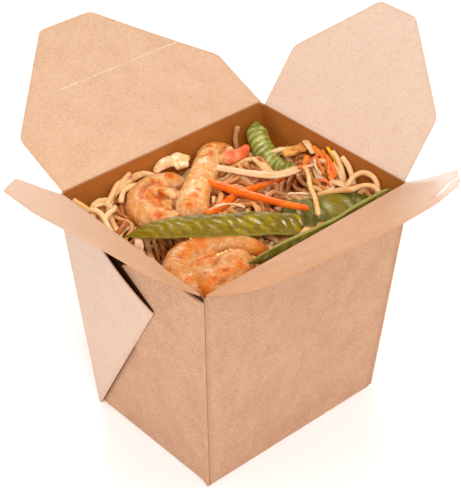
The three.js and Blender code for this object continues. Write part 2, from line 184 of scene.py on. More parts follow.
def lofted(rings, first, last):
    """A closed body through rings of places, an array (rings, sides, 3), with a pole at either end."""
    count, sides = rings.shape[:2]
    places = np.vstack([rings.reshape(-1, 3), first, last])
    faces = ring_faces(count, sides)
    pole = count * sides
    faces += [(pole, (j + 1) % sides, j) for j in range(sides)]
    end = (count - 1) * sides
    faces += [(pole + 1, end + j, end + (j + 1) % sides) for j in range(sides)]
    return Shape(places, faces)


def normalised(vectors):
    return vectors / np.maximum(np.linalg.norm(vectors, axis=-1, keepdims=True), 1e-12)


def smooth_curve(points, shares):
    """Places at shares of the length of the centripetal curve through the points, the tangents there, and
    the curve's length."""
    p = np.asarray(points, float)
    p = np.vstack([2 * p[0] - p[1], p, 2 * p[-1] - p[-2]])
    gaps = np.linalg.norm(np.diff(p, axis=0), axis=1) ** 0.5
    t = np.linspace(0, 1, 24, endpoint=False)[:, None]
    stretches = []
    for i in range(1, len(p) - 2):
        before, here, after = gaps[i - 1 : i + 2]
        step = p[i + 1] - p[i]
        leave = (p[i] - p[i - 1]) / before - (p[i + 1] - p[i - 1]) / (before + here) + step / here
        arrive = step / here - (p[i + 2] - p[i]) / (here + after) + (p[i + 2] - p[i + 1]) / after
        stretches.append(
            p[i] * (2 * t**3 - 3 * t**2 + 1)
            + leave * here * (t**3 - 2 * t**2 + t)
            + p[i + 1] * (3 * t**2 - 2 * t**3)
            + arrive * here * (t**3 - t**2)
        )
    fine = np.vstack([*stretches, p[-2]])
    length = np.concatenate([[0], np.cumsum(np.linalg.norm(np.diff(fine, axis=0), axis=1))])
    at = np.asarray(shares) * length[-1]
    pick = lambda distance: np.stack([np.interp(distance, length, fine[:, k]) for k in range(3)], -1)
    reach = 0.01 * length[-1]
    ahead = pick(np.minimum(at + reach, length[-1]))
    behind = pick(np.maximum(at - reach, 0))
    return pick(at), normalised(ahead - behind), length[-1]


def swept(points, surface, up=UP, sides=24, step=1.0):
    """A closed body along the smooth curve through the points. surface(share, angle) gives how far its
    skin lies across the curve and over it. Fields: share of the length, and side, the angle's cosine."""
    length = smooth_curve(points, [0])[2]
    count = max(int(length / step), 8)
    even = (np.arange(count) + 0.5) / count
    shares = 0.6 * even + 0.4 * (0.5 - 0.5 * np.cos(np.pi * even))
    shares = np.concatenate([[shares[0] / 8, shares[0] / 3], shares, 1 - shares[0] / np.array([3, 8])])
    centre, along, _ = smooth_curve(points, shares)
    over = np.asarray(up, float) - along * (along @ np.asarray(up, float))[:, None]
    over = normalised(over)
    across = np.cross(over, along)
    angle = np.linspace(0, 2 * np.pi, sides, endpoint=False)
    width, height = surface(shares[:, None], angle[None, :])
    rings = centre[:, None] + across[:, None] * width[..., None] + over[:, None] * height[..., None]
    ends = smooth_curve(points, [0, 1])[0]
    shape = lofted(rings[:, ::-1], ends[0], ends[1])
    spread = lambda grid, first, last: np.append(grid.ravel(), [first, last])
    grid = np.broadcast_to(shares[:, None], width.shape)
    turned = np.broadcast_to(angle[None, ::-1], width.shape)
    shape.fields = {"share": spread(grid, 0, 1), "side": spread(np.cos(turned), 0, 0)}
    return shape


def round_end(share, end):
    """A factor that rounds both ends off over the share `end` of the length."""
    reach = np.clip(np.minimum(share, 1 - share) / end, 0, 1)
    return np.sqrt(1 - (1 - reach) ** 2)


def power(value, exponent):
    return np.sign(value) * np.abs(value) ** exponent


def wobble(places, wavelength, seed, waves=9):
    """Smooth noise of about -1 to 1 at each place, as waves of about one length in random directions."""
    rng = np.random.default_rng(seed)
    ways = normalised(rng.normal(size=(waves, 3)))
    turns = 2 * np.pi / (wavelength * rng.uniform(0.7, 1.4, waves))
    phases = rng.uniform(0, 2 * np.pi, waves)
    return np.sin(places @ (ways * turns[:, None]).T + phases).sum(1) / (0.75 * waves**0.5 * 2)


def normals_of(shape):
    mesh = bpy.data.meshes.new("scratch")
    mesh.from_pydata(shape.places.tolist(), [], shape.faces)
    normals = np.empty(len(mesh.vertices) * 3)
    mesh.vertices.foreach_get("normal", normals)
    bpy.data.meshes.remove(mesh)
    return normals.reshape(-1, 3)


def swollen(shape, heights):
    """The shape with each place moved out along its normal."""
    shape.places = shape.places + normals_of(shape) * np.asarray(heights)[:, None]
    return shape


def fused(shapes, voxel, smoothings):
    """Overlapping shapes as one smooth skin."""
    whole = joined(shapes)
    source = make_object("scratch", Shape(whole.places, whole.faces))
    remesh = source.modifiers.new("remesh", "REMESH")
    remesh.mode = "VOXEL"
    remesh.voxel_size = voxel * MM
    smooth = source.modifiers.new("smooth", "SMOOTH")
    smooth.iterations = smoothings
    smooth.factor = 0.5
    made = source.evaluated_get(bpy.context.evaluated_depsgraph_get()).to_mesh()
    places = np.empty(len(made.vertices) * 3)
    made.vertices.foreach_get("co", places)
    faces = [tuple(face.vertices) for face in made.polygons]
    mesh = source.data
    bpy.data.objects.remove(source)
    bpy.data.meshes.remove(mesh)
    return Shape(places.reshape(-1, 3) / MM, faces)


# ---- Materials ----


def srgb(red, green, blue):
    """A colour written as it looks on a screen, 0 to 255, as the shader's linear numbers."""
    linear = lambda value: value / 12.92 if value <= 0.04045 else ((value + 0.055) / 1.055) ** 2.4
    return (*(linear(value / 255) for value in (red, green, blue)), 1.0)


class Look:
    """One material's nodes. Coordinates are in mm."""

    def __init__(self, name, roughness, **sockets):
        self.material = bpy.data.materials.new(name)
        self.material.use_nodes = True
        self.tree = self.material.node_tree
        self.shader = self.tree.nodes["Principled BSDF"]
        self.shader.inputs["Roughness"].default_value = roughness
        for socket, value in sockets.items():
            self.shader.inputs[socket.replace("_", " ")].default_value = value
        self.place = self.vector("SCALE", self.node("TexCoord", {})["Object"], factor=1 / MM)

    def put(self, socket, value):
        """Sets a socket to a number or colour, or links it to another node's output."""
        if isinstance(value, bpy.types.NodeSocket):
            self.tree.links.new(value, socket)
        elif value is not None:
            socket.default_value = value

    def node(self, kind, inputs, **settings):
        """Adds a node with these inputs and settings, and gives its outputs."""
        added = self.tree.nodes.new("ShaderNode" + kind)
        for setting, value in settings.items():
            setattr(added, setting, value)
        for socket, value in inputs.items():
            self.put(added.inputs[socket], value)
        return added.outputs

    def vector(self, operation, first, second=None, factor=None):
        return self.node("VectorMath", {0: first, 1: second, 3: factor}, operation=operation)["Vector"]

    def maths(self, operation, first, second=None, third=None, clamp=False):
        inputs = {0: first, 1: second, 2: third}
        return self.node("Math", inputs, operation=operation, use_clamp=clamp)["Value"]

    def times(self, first, second):
        return self.maths("MULTIPLY", first, second)

    def field(self, name, output="Fac"):
        return self.node("Attribute", {}, attribute_name=name)[output]

    def noise(self, size, detail=3, roughness=0.5, distortion=0, at=None):
        """Noise whose blotches are about `size` mm across."""
        inputs = {"Scale": 1 / size, "Detail": detail, "Roughness": roughness, "Distortion": distortion}
        return self.node("TexNoise", {"Vector": at or self.place, **inputs})["Fac"]

    def dots(self, size, radius, share, at=None):
        """Round dots of 1 on 0, one in each cell of about `size` mm, kept in a share of the cells."""
        cells = self.node("TexVoronoi", {"Vector": at or self.place, "Scale": 1 / size})
        near = self.ranged(cells["Distance"], radius / size, 0.5 * radius / size)
        drawn = self.node("SeparateColor", {0: cells["Color"]})[0]
        return self.times(near, self.maths("LESS_THAN", drawn, share))

    def stretched(self, scales, degrees=0, at=None):
        turn = (0, 0, math.radians(degrees))
        return self.node("Mapping", {"Vector": at or self.place, "Rotation": turn, "Scale": scales})["Vector"]

    def ranged(self, value, low, high, smooth=True):
        """0 at `low` and 1 at `high`, the other way round where low is the larger."""
        inputs = {"Value": value, "From Min": low, "From Max": high}
        kind = "SMOOTHSTEP" if smooth else "LINEAR"
        return self.node("MapRange", inputs, interpolation_type=kind)["Result"]

    def mix(self, share, first, second, blend="MIX"):
        inputs = {0: share, 6: first, 7: second}
        return self.node("Mix", inputs, data_type="RGBA", blend_type=blend)[2]

    def patches(self, low, high, *noise, **options):
        """Blotches of noise: 0 where it is at `low`, 1 where it is at `high`."""
        return self.ranged(self.noise(*noise, **options), low, high)

    def over(self, colour, where, strength, painted):
        """The colour with another painted over it, as strongly as `where` says times `strength`."""
        return self.mix(self.times(where, strength), colour, painted)

    def bump(self, height, depth, after=None):
        """A bump of `depth` mm over heights from 0 to 1."""
        return self.node("Bump", {"Distance": depth * MM, "Height": height, "Normal": after})["Normal"]

    def finish(self, colour, normal=None, roughness=None):
        self.put(self.shader.inputs["Base Color"], colour)
        self.put(self.shader.inputs["Normal"], normal)
        self.put(self.shader.inputs["Roughness"], roughness)
        return self.material


def kraft():
    """Brown board with fine fibres and a few dark shives. Its inside is coated, so yellower. The inner walls
    are darkened below the rim, a sauce stain and painted shade; some panels are painted paler as painted
    light, and the dark behind the webs is painted shade."""
    look = Look("kraft_board", 0.6, Specular_IOR_Level=0.15)
    board = look.field("board", "Vector")
    inside = look.field("inside")
    grain = look.noise(0.9, 6, 0.75, at=board)
    cloud = look.noise(13, 4, 0.6, at=board)
    fibres = None
    for degrees, seed in ((12, 0), (-48, 31), (71, 67), (-80, 92)):
        moved = look.vector("ADD", board, (seed, 0, 0))
        threads = look.noise(0.5, 2, 0.5, 0.8, look.stretched((0.3, 1, 1), degrees, moved))
        fibres = threads if fibres is None else look.maths("MAXIMUM", fibres, threads)
    outer = look.mix(look.ranged(cloud, 0.3, 0.7), srgb(183, 133, 100), srgb(194, 146, 113))
    inner = look.mix(look.ranged(cloud, 0.3, 0.7), srgb(200, 156, 121), srgb(210, 168, 133))
    colour = look.mix(inside, outer, inner)
    # Painted light: panels where light falls are painted paler, the brightest to near white as a painted
    # highlight.
    pale = look.field("pale")
    colour = look.mix(look.maths("MULTIPLY", pale, 0.6, clamp=True), colour, srgb(235, 216, 202))
    colour = look.mix(look.ranged(pale, 1.0, 1.6), colour, srgb(253, 242, 238))
    colour = look.over(colour, look.ranged(grain, 0.35, 0.7), 0.5, srgb(228, 188, 156))
    dark = look.ranged(fibres, 0.6, 0.76)
    colour = look.over(colour, dark, 0.36, srgb(156, 106, 70))
    light = look.ranged(look.noise(0.65, 3, 0.6, 0.4, look.vector("ADD", board, (9, 40, 0))), 0.55, 0.72)
    colour = look.over(colour, light, 0.42, srgb(240, 208, 180))
    shives = look.dots(3.6, 0.26, 0.3, look.stretched((0.6, 1.1, 1), 33, board))
    colour = look.over(colour, shives, 0.3, srgb(128, 86, 56))
    worn = look.times(look.field("edge"), look.ranged(grain, 0.3, 0.6))
    colour = look.over(colour, worn, 0.3, srgb(200, 154, 116))
    crease = look.field("crease")
    colour = look.over(colour, crease, 0.35, srgb(150, 104, 70))
    # The inner walls, and the flaps near the sunken corner, are darkened: a sauce and grease stain and
    # painted shade.
    grease_and_shade = look.mix(look.ranged(look.field("depth"), 0, 1), srgb(211, 162, 92), srgb(228, 160, 22))
    colour = look.mix(look.field("soaked"), colour, grease_and_shade, "MULTIPLY")
    across = look.node("SeparateXYZ", {0: board})
    off_fold = look.maths("ABSOLUTE", look.maths("ADD", across["Y"], -FOLD_LINE))
    broken = look.patches(0.4, 0.6, 7, 4, 0.7, at=board)
    fold = look.times(look.ranged(off_fold, 0.55, 0.1), broken)
    fold = look.times(look.times(fold, look.field("scuffed")), 0.45)
    fold = look.times(fold, look.ranged(across["X"], -28, -20))
    colour = look.mix(fold, colour, srgb(246, 226, 204))
    # Painted shade: near-black brown in the pocket of the webs and on the short walls behind them.
    colour = look.mix(look.ranged(look.field("gap"), -0.15, 0.3), colour, srgb(64, 32, 14))
    surface = look.maths("ADD", look.times(grain, 0.6), look.times(fibres, 0.4))
    normal = look.bump(surface, 0.07)
    normal = look.bump(crease, -0.25, normal)
    return look.finish(colour, normal, look.ranged(grain, -1.0, 1.5, False))


def noodle(name, pale, brown, sauce):
    """Fried noodle: translucent and oily, paler on some strands, with sauce in blotches along it."""
    look = Look(
        name, 0.3, Subsurface_Weight=0.25, Subsurface_Scale=0.002, Subsurface_Radius=(1.0, 0.5, 0.22),
        Coat_Weight=0.2, Coat_Roughness=0.1, Specular_IOR_Level=0.15,
    )
    tint = look.field("tint")
    blotch = look.noise(6, 3, 0.6)
    fine = look.noise(1.1, 3, 0.6)
    share = look.maths("ADD", look.times(tint, 0.75), look.times(blotch, 0.55))
    colour = look.mix(look.ranged(share, 0.25, 0.95), pale, brown)
    sauced = look.patches(0.5, 0.68, 8, 4, 0.65, 0.5)
    colour = look.over(colour, sauced, 0.7, sauce)
    streak = look.ranged(fine, 0.4, 0.75)
    colour = look.over(colour, streak, 0.2, srgb(252, 226, 186))
    specks = look.dots(2.6, 0.16, 0.3)
    colour = look.over(colour, specks, 0.7, srgb(84, 36, 12))
    # Painted shade: strands deep in the heap are darkened, as are the spots of sauce and shade.
    colour = look.mix(look.field("deep"), colour, srgb(156, 100, 22), "MULTIPLY")
    normal = look.bump(look.maths("ADD", fine, look.noise(3.5, 2)), 0.12)
    return look.finish(colour, normal, look.ranged(look.noise(4, 3), -0.1, 1.9, False))


def sauce_and_shade_bed():
    look = Look("sauce_and_shade_bed", 0.3, Specular_IOR_Level=0.15, Coat_Weight=0.3, Coat_Roughness=0.1)
    # Very dark brown: sauce, and painted shade that shows through the gaps between the strands.
    colour = look.mix(look.patches(0.35, 0.65, 5, 4, 0.6), srgb(58, 20, 4), srgb(104, 44, 10))
    return look.finish(colour, look.bump(look.noise(2.5, 4, 0.6), 0.6))


def shrimp():
    """Cooked flesh under sauce: peach, paler in patches, stained orange by the field and in spots."""
    look = Look(
        "shrimp", 0.32, Subsurface_Weight=0.1, Subsurface_Scale=0.002, Subsurface_Radius=(1.0, 0.6, 0.25),
        Coat_Weight=0.25, Coat_Roughness=0.1, Specular_IOR_Level=0.15,
    )
    cloud = look.noise(6, 4, 0.6, 0.6)
    fine = look.noise(1.3, 4, 0.65)
    rough = look.noise(2.6, 5, 0.7, 1.2)
    colour = look.mix(look.ranged(cloud, 0.35, 0.65), srgb(240, 180, 112), srgb(230, 148, 70))
    pale = look.patches(0.46, 0.62, 4.5, 4, 0.65, 0.8)
    colour = look.over(colour, pale, 0.75, srgb(250, 212, 164))
    colour = look.over(colour, look.field("pale"), 0.85, srgb(252, 216, 150))
    colour = look.mix(look.field("sauced"), colour, srgb(224, 208, 184), "MULTIPLY")
    band = look.times(look.field("band"), look.ranged(rough, 0.35, 0.65))
    colour = look.over(colour, band, 0.25, srgb(226, 118, 34))
    glaze = look.times(look.patches(0.5, 0.62, 3.4, 5, 0.7, 1.4), look.field("sauced"))
    colour = look.over(colour, glaze, 0.6, srgb(206, 104, 28))
    stain = look.maths("ADD", look.field("stain"), look.maths("MULTIPLY_ADD", rough, 2.2, -1.27))
    colour = look.over(colour, look.ranged(stain, 0.0, 0.6), 0.85, srgb(226, 120, 24))
    darkest = look.mix(look.field("sauced"), srgb(206, 84, 6), srgb(164, 50, 0))
    colour = look.over(colour, look.ranged(stain, 0.55, 1.05), 0.9, darkest)
    colour = look.mix(look.ranged(look.field("tail"), 0.1, 0.9), colour, srgb(238, 92, 42))
    speckle = look.times(look.patches(0.6, 0.7, 1.6, 5, 0.75, 0.8), 0.3)
    colour = look.mix(speckle, colour, srgb(204, 90, 16))
    specks = look.dots(4.2, 0.2, 0.12)
    colour = look.over(colour, specks, 0.6, srgb(120, 44, 12))
    # Painted shade in the seams between the curls.
    colour = look.over(colour, look.field("seam"), 0.7, srgb(160, 60, 4))
    normal = look.bump(look.maths("ADD", fine, look.noise(3, 3)), 0.4)
    return look.finish(colour, normal, look.ranged(look.noise(2.4, 3), -0.2, 2.0, False))


def pod_skin(name, light, deep, gloss, streak):
    """Pea pod: green, with a painted highlight in streaks on its ribs, painted shade between them, browned by
    the sauce.
    """
    look = Look(name, 0.26, Specular_IOR_Level=0.08, Coat_Weight=0.12, Coat_Roughness=0.08)
    cloud = look.noise(7, 4, 0.6, 0.7)
    fine = look.noise(0.9, 4, 0.7)
    colour = look.mix(look.ranged(cloud, 0.36, 0.64), light, deep)
    ribs = look.maths("ADD", look.field("rib"), look.maths("MULTIPLY_ADD", fine, 0.7, -0.35))
    # Painted highlight: streaks on the ribs lightened towards the gloss colour.
    painted_gloss = look.times(look.ranged(ribs, 0.55, 1.0), look.patches(0.42, 0.6, 6, 4, 0.7, 1))
    colour = look.over(colour, painted_gloss, streak, gloss)
    # Painted shade between the ribs.
    colour = look.over(colour, look.ranged(ribs, 0.4, 0.05), 0.8, deep)
    colour = look.over(colour, look.field("vivid"), 0.9, srgb(130, 108, 0))
    colour = look.over(colour, look.field("rim"), 0.6, srgb(176, 168, 86))
    browned = look.patches(0.52, 0.7, 5, 4, 0.7, 0.6)
    colour = look.over(colour, browned, 0.5, srgb(126, 88, 20))
    normal = look.bump(look.maths("ADD", fine, look.noise(2.8, 3)), 0.18)
    return look.finish(colour, normal, look.ranged(look.noise(3, 3), -0.1, 2.0, False))


def shred(name, base, second, bright, translucency, stained):
    """A strip of vegetable: fine grain along it, brighter in places, with oil and a little sauce on it."""
    look = Look(
        name, 0.3, Subsurface_Weight=translucency, Subsurface_Scale=0.002,
        Subsurface_Radius=(1.0, 0.5, 0.25), Coat_Weight=0.14, Coat_Roughness=0.09, Specular_IOR_Level=0.08,
    )
    fine = look.noise(0.8, 4, 0.7)
    lengthways = look.maths("MULTIPLY_ADD", look.field("side"), 7, look.times(fine, 3))
    grain = look.ranged(look.maths("SINE", lengthways), -0.4, 1)
    colour = look.mix(look.patches(0.3, 0.7, 5, 3, 0.6), base, second)
    colour = look.over(colour, grain, 0.25, bright)
    stain = look.patches(0.54, 0.72, 4, 4, 0.7, 0.5)
    colour = look.over(colour, stain, 0.5, stained)
    specks = look.dots(3.4, 0.2, 0.22)
    colour = look.over(colour, specks, 0.6, srgb(120, 44, 10))
    normal = look.bump(look.maths("ADD", look.times(grain, 0.2), fine), 0.12)
    return look.finish(colour, normal, look.ranged(look.noise(2, 3), -0.1, 1.9, False))


def omelette():
    look = Look("omelette", 0.4, Subsurface_Weight=0.2, Subsurface_Scale=0.003, Specular_IOR_Level=0.2)
    cloud = look.noise(3.5, 4, 0.65, 0.5)
    fine = look.noise(0.9, 4, 0.7)
    colour = look.mix(look.ranged(cloud, 0.35, 0.65), srgb(232, 170, 84), srgb(196, 110, 36))
    colour = look.over(colour, look.ranged(fine, 0.5, 0.75), 0.5, srgb(150, 74, 24))
    return look.finish(colour, look.bump(look.maths("ADD", fine, cloud), 0.35))


def egg_white():
    """A pale flake of egg with a rosy tip and browned rims."""
    look = Look("egg_white", 0.36, Subsurface_Weight=0.3, Subsurface_Scale=0.002, Specular_IOR_Level=0.2)
    cloud = look.noise(2.6, 4, 0.6, 0.6)
    colour = look.mix(look.ranged(cloud, 0.4, 0.62), srgb(253, 228, 190), srgb(240, 186, 122))
    spots = look.patches(0.58, 0.7, 3.2, 4, 0.6)
    colour = look.over(colour, spots, 0.7, srgb(222, 126, 50))
    colour = look.over(colour, look.ranged(look.field("share"), 0.16, 0.04), 0.8, srgb(232, 96, 56))
    return look.finish(colour, look.bump(look.noise(2.2, 3, 0.5), 0.2))


def plain_bits(name, base, second, size):
    """Small loose things: two tones in clouds of `size` mm, and a rough skin."""
    look = Look(name, 0.35, Specular_IOR_Level=0.15, Coat_Weight=0.2, Coat_Roughness=0.1)
    colour = look.mix(look.patches(0.35, 0.65, size, 4, 0.6), base, second)
    return look.finish(colour, look.bump(look.noise(size / 3, 3), 0.15))


KRAFT = kraft()
NOODLE_PALE = noodle("noodle_pale", srgb(244, 198, 142), srgb(220, 154, 86), srgb(192, 106, 34))
NOODLE_BROWN = noodle("noodle_browned", srgb(216, 142, 62), srgb(174, 90, 22), srgb(126, 50, 6))
SAUCE_AND_SHADE_BED = sauce_and_shade_bed()
SHRIMP = shrimp()
POD_OLIVE = pod_skin("pod_olive", srgb(160, 138, 8), srgb(112, 90, 0), srgb(226, 222, 190), 0.95)
POD_GREY = pod_skin("pod_grey_green", srgb(142, 134, 68), srgb(98, 88, 16), srgb(202, 198, 168), 0.9)
POD_BRIGHT = pod_skin("pod_bright", srgb(186, 182, 104), srgb(118, 118, 24), srgb(228, 226, 196), 0.95)
CARROT = shred("carrot", srgb(238, 84, 2), srgb(248, 116, 12), srgb(252, 160, 62), 0, srgb(206, 50, 0))
RED_SHRED = shred(
    "red_shred", srgb(226, 84, 4), srgb(240, 132, 40), srgb(250, 186, 120), 0.1, srgb(198, 40, 4)
)
ONION = shred(
    "onion", srgb(230, 192, 146), srgb(222, 166, 108), srgb(248, 222, 188), 0.2, srgb(214, 128, 50)
)
SPROUT = shred(
    "sprout", srgb(240, 196, 130), srgb(228, 164, 88), srgb(250, 222, 172), 0.2, srgb(220, 146, 64)
)
OMELETTE = omelette()
EGG_WHITE = egg_white()
GARLIC = plain_bits("garlic", srgb(250, 218, 140), srgb(236, 176, 84), 1.5)
PEPPER = plain_bits("pepper", srgb(70, 26, 8), srgb(120, 50, 18), 1.0)
LIMP = plain_bits("limp_onion", srgb(226, 186, 152), srgb(204, 146, 110), 3.0)
YELLOW = plain_bits("yellow_strand", srgb(240, 186, 18), srgb(216, 150, 10), 2.0)


# ---- Carton ----


def half_sizes(z):
    """The carton's outer half length and half width at each height."""
    share = np.asarray(z, float)[..., None] / HEIGHT
    return BASE_HALF + (RIM_HALF - BASE_HALF) * share


def rounded_rectangle(half_x, half_y, radius, corner_steps=4, spacing=1.3):
    """An outline with the same number of places whatever its size, so that outlines can be lofted."""
    radius = np.broadcast_to(radius, np.shape(half_x))
    sides = [int(2 * RIM_HALF[0] / spacing), int(2 * RIM_HALF[1] / spacing)]
    outline = []
    for quarter in range(4):
        sign_x, sign_y = [(1, 1), (-1, 1), (-1, -1), (1, -1)][quarter]
        middle = np.stack([sign_x * (half_x - radius), sign_y * (half_y - radius)], -1)
        angles = (quarter + np.arange(corner_steps + 1) / corner_steps) * math.pi / 2
        arc = [middle + radius[..., None] * np.array([math.cos(a), math.sin(a)]) for a in angles]
        outline.append(arc)
    places = []
    for quarter in range(4):
        places += outline[quarter]
        start, end = outline[quarter][-1], outline[(quarter + 1) % 4][0]
        count = sides[quarter % 2]
        places += [start + (end - start) * k / count for k in range(1, count)]
    return np.stack(places, -2)


def dip(places):
    """How far the rim, and the flaps hinged on it, sink towards the front left corner."""
    span = 2 * RIM_HALF
    share = np.clip((places[..., :2] + RIM_HALF) / span, 0, 1)
    return FRONT_DIP * (1 - share[..., 0]) * (1 - share[..., 1])


def rim_rise(outline):
    """How far the wall goes on above the corners: up to the crease of the flap that it carries."""
    x, y = np.abs(outline[:, 0]), np.abs(outline[:, 1])
    long_side = (y > RIM_HALF[1] - 0.2) & (x < LONG_FLAP["half"])
    short_side = (x > RIM_HALF[0] - 0.2) & (y < SHORT_FLAP["half"])
    return np.where(long_side, LONG_FLAP["rise"], np.where(short_side, SHORT_FLAP["rise"], 0.0))


def as_board(shape, **fields):
    """The shape with the fields that the kraft material reads, coordinates on the board among them."""
    x, y, z = shape.places.T
    shape.fields = {"board": np.stack([x + y, z, x - y], 1)}
    return shape.with_fields(**fields)


def carton_walls():
    """One shell with rounded folds at its foot and a round edge at the rim."""
    rim = rounded_rectangle(*RIM_HALF, 0.1)
    rise = rim_rise(rim) - dip(rim)
    steps = np.linspace(0, 1, 17)
    turn = np.linspace(0, math.pi / 2, 5)
    rings, inside = [], []

    def ring(inset, z, radius, is_inside):
        z = np.broadcast_to(z, rise.shape)
        half = half_sizes(z) - np.broadcast_to(inset, rise.shape)[:, None]
        outlines = rounded_rectangle(half[:, 0], half[:, 1], radius)
        flat = outlines[np.arange(len(rise)), np.arange(len(rise))]
        rings.append(np.column_stack([flat, z]))
        inside.append(is_inside)

    foot, inner_foot = 0.9, 0.45
    ring(20, 0, 0.1, 0)
    for angle in turn:
        ring(foot * (1 - math.sin(angle)), foot * (1 - math.cos(angle)), 0.4, 0)
    top = HEIGHT + rise
    for step in steps[1:]:
        ring(0, foot + (top - foot) * step, 0.25, 0)
    for angle in np.linspace(0, math.pi, 7)[1:-1]:
        ring(BOARD / 2 * (1 - math.cos(angle)), top + BOARD / 2 * math.sin(angle), 0.15, angle > 1.5)
    low = BOARD + inner_foot
    for step in [1, 0.992, *steps[-2::-1]]:
        ring(BOARD, low + (top - low) * step, 0.1, 1)
    for angle in turn[::-1][1:]:
        ring(BOARD + inner_foot * (1 - math.sin(angle)), BOARD + inner_foot * (1 - math.cos(angle)), 0.1, 1)
    ring(20, BOARD, 0.1, 1)
    shape = lofted(np.array(rings)[:, ::-1], [0, 0, 0], [0, 0, BOARD])
    face = np.append(np.repeat(np.array(inside, float), len(rise)), [0, 1])
    # The folds of the corners show as creases inside, and the rim is a little worn.
    x, y, z = shape.places.T
    half = half_sizes(z)
    corner = np.minimum(half[:, 0] - np.abs(x), 9) + np.minimum(half[:, 1] - np.abs(y), 9)
    crease = np.exp(-((corner / 1.6) ** 2)) * 0.8
    edge = np.exp(-((np.abs(z - HEIGHT) / 1.5) ** 2)) * 0.6
    below = np.append(np.tile(top[::-1], len(rings)), [0, 0]) - z
    on_short = (np.abs(x) > half[:, 0] - 0.3) & (face < 0.5) & (np.abs(y) < half[:, 1] - 1)
    # Inside, the walls are darkened from just below the rim, a sauce stain and painted shade; on the short
    # walls' outer faces, shade is painted above DARK_FROM.
    return as_board(
        shape, inside=face, edge=edge, crease=crease, scuffed=0, pale=0,
        soaked=face * np.clip(below / 0.8, 0, 1), depth=below / SAUCE_AND_SHADE_REACH,
        gap=np.where(on_short, (z + dip(shape.places) - DARK_FROM) / DARK_FADE, -1),
    )


def resampled(outline, spacing):
    """A closed outline with places at most `spacing` apart."""
    places = []
    for start, end in zip(outline, np.roll(outline, -1, axis=0)):
        count = max(int(np.ceil(np.linalg.norm(end - start) / spacing)), 1)
        places += [start + (end - start) * k / count for k in range(count)]
    return np.array(places)


def edge_distance(places, outline):
    start, end = outline, np.roll(outline, -1, axis=0)
    along = end - start
    offset = places[:, None] - start[None]
    share = np.clip((offset * along).sum(-1) / np.maximum((along**2).sum(-1), 1e-12), 0, 1)
    return np.linalg.norm(offset - share[..., None] * along, axis=-1).min(1)


def is_within(places, outline):
    start, end = outline, np.roll(outline, -1, axis=0)
    x, y = places[:, 0, None], places[:, 1, None]
    crosses = (start[:, 1] > y) != (end[:, 1] > y)
    slope = (end[:, 0] - start[:, 0]) / np.where(end[:, 1] == start[:, 1], 1e-12, end[:, 1] - start[:, 1])
    return (crosses & (x < start[:, 0] + slope * (y - start[:, 1]))).sum(1) % 2 == 1


def sheet(outline, lay, thickness=BOARD, spacing=1.8):
    """A flat sheet of board cut to an outline of (u, v), filled with triangles and laid in space by
    lay(u, v, w), where w is the height over its middle plane. Anticlockwise outlines face +w."""
    outline = np.asarray(outline, float)
    rim = resampled(outline, spacing)
    low, high = rim.min(0), rim.max(0)
    grid = np.stack(np.meshgrid(*[np.arange(*ends, spacing) for ends in zip(low, high)]), -1)
    grid[1::2, :, 0] += spacing / 2
    grid = grid.reshape(-1, 2)
    grid = grid[is_within(grid, outline)]
    grid = grid[edge_distance(grid, outline) > 0.45 * spacing]
    loop = list(range(len(rim)))
    flat, _, triangles, *_ = delaunay_2d_cdt(
        [Vector(place) for place in np.vstack([rim, grid])], [], [loop], 1, 1e-5
    )
    flat = np.array([tuple(place) for place in flat])
    count = len(flat)
    faces = [tuple(face) for face in triangles]
    edges = {(face[k], face[(k + 1) % len(face)]) for face in faces for k in range(len(face))}
    border = [edge for edge in edges if edge[::-1] not in edges]
    faces += [tuple(corner + count for corner in reversed(face)) for face in triangles]
    faces += [(b, a, a + count, b + count) for a, b in border]
    u, v = flat.T
    places = np.vstack([lay(u, v, np.full(count, side * thickness / 2)) for side in (1, -1)])
    board = np.column_stack([np.tile(flat, (2, 1)), np.repeat([thickness / 2, -thickness / 2], count)])
    worn = np.exp(-((edge_distance(flat, rim) / 0.7) ** 2))
    shape = Shape(places, faces, board=board)
    return shape.with_fields(inside=np.repeat([1, 0], count), edge=np.tile(worn, 2), crease=0)


def rod(start, end, radius, sides=10):
    """A thin round fold of board between two places."""
    start, end = np.asarray(start, float), np.asarray(end, float)
    along = normalised(end - start)
    side = normalised(np.cross(along, [0.3, 0.5, 0.8]))
    other = np.cross(along, side)
    angle = np.linspace(0, 2 * np.pi, sides, endpoint=False)[:, None]
    circle = radius * (np.cos(angle) * side + np.sin(angle) * other)
    rings = np.array([start + (end - start) * share + circle for share in np.linspace(0, 1, 12)])
    return as_board(lofted(rings, start, end), inside=0, edge=0.5, crease=0)


wall_lean = math.atan2(RIM_HALF[0] - BASE_HALF[0], HEIGHT)
wall_slant = HEIGHT / math.cos(wall_lean)


def on_short_wall(across, up, out):
    """A place on the left short wall: towards the front along it, up its slope, and off its face."""
    x = -BASE_HALF[0] - up * math.sin(wall_lean) - out * math.cos(wall_lean)
    z = up * math.cos(wall_lean) - out * math.sin(wall_lean)
    return np.stack(np.broadcast_arrays(x, -across, z), -1)


def web_corners(side, inset, size=GUSSET):
    """Foot, corner, rim and tip of the web from the front corner (side 1) or the back one (-1). The edge
    along the corner is drawn in by `inset`, for the round fold that goes there."""
    rim_up = wall_slant - size["rim_drop"]
    rim_half = BASE_HALF[1] + (RIM_HALF[1] - BASE_HALF[1]) * rim_up / wall_slant
    return np.array(
        [
            [side * (BASE_HALF[1] - inset), inset],
            [side * (rim_half - inset), rim_up],
            [side * size["rim_across"], rim_up],
            [-side * size["tip_past"], size["tip_up"]],
        ]
    )


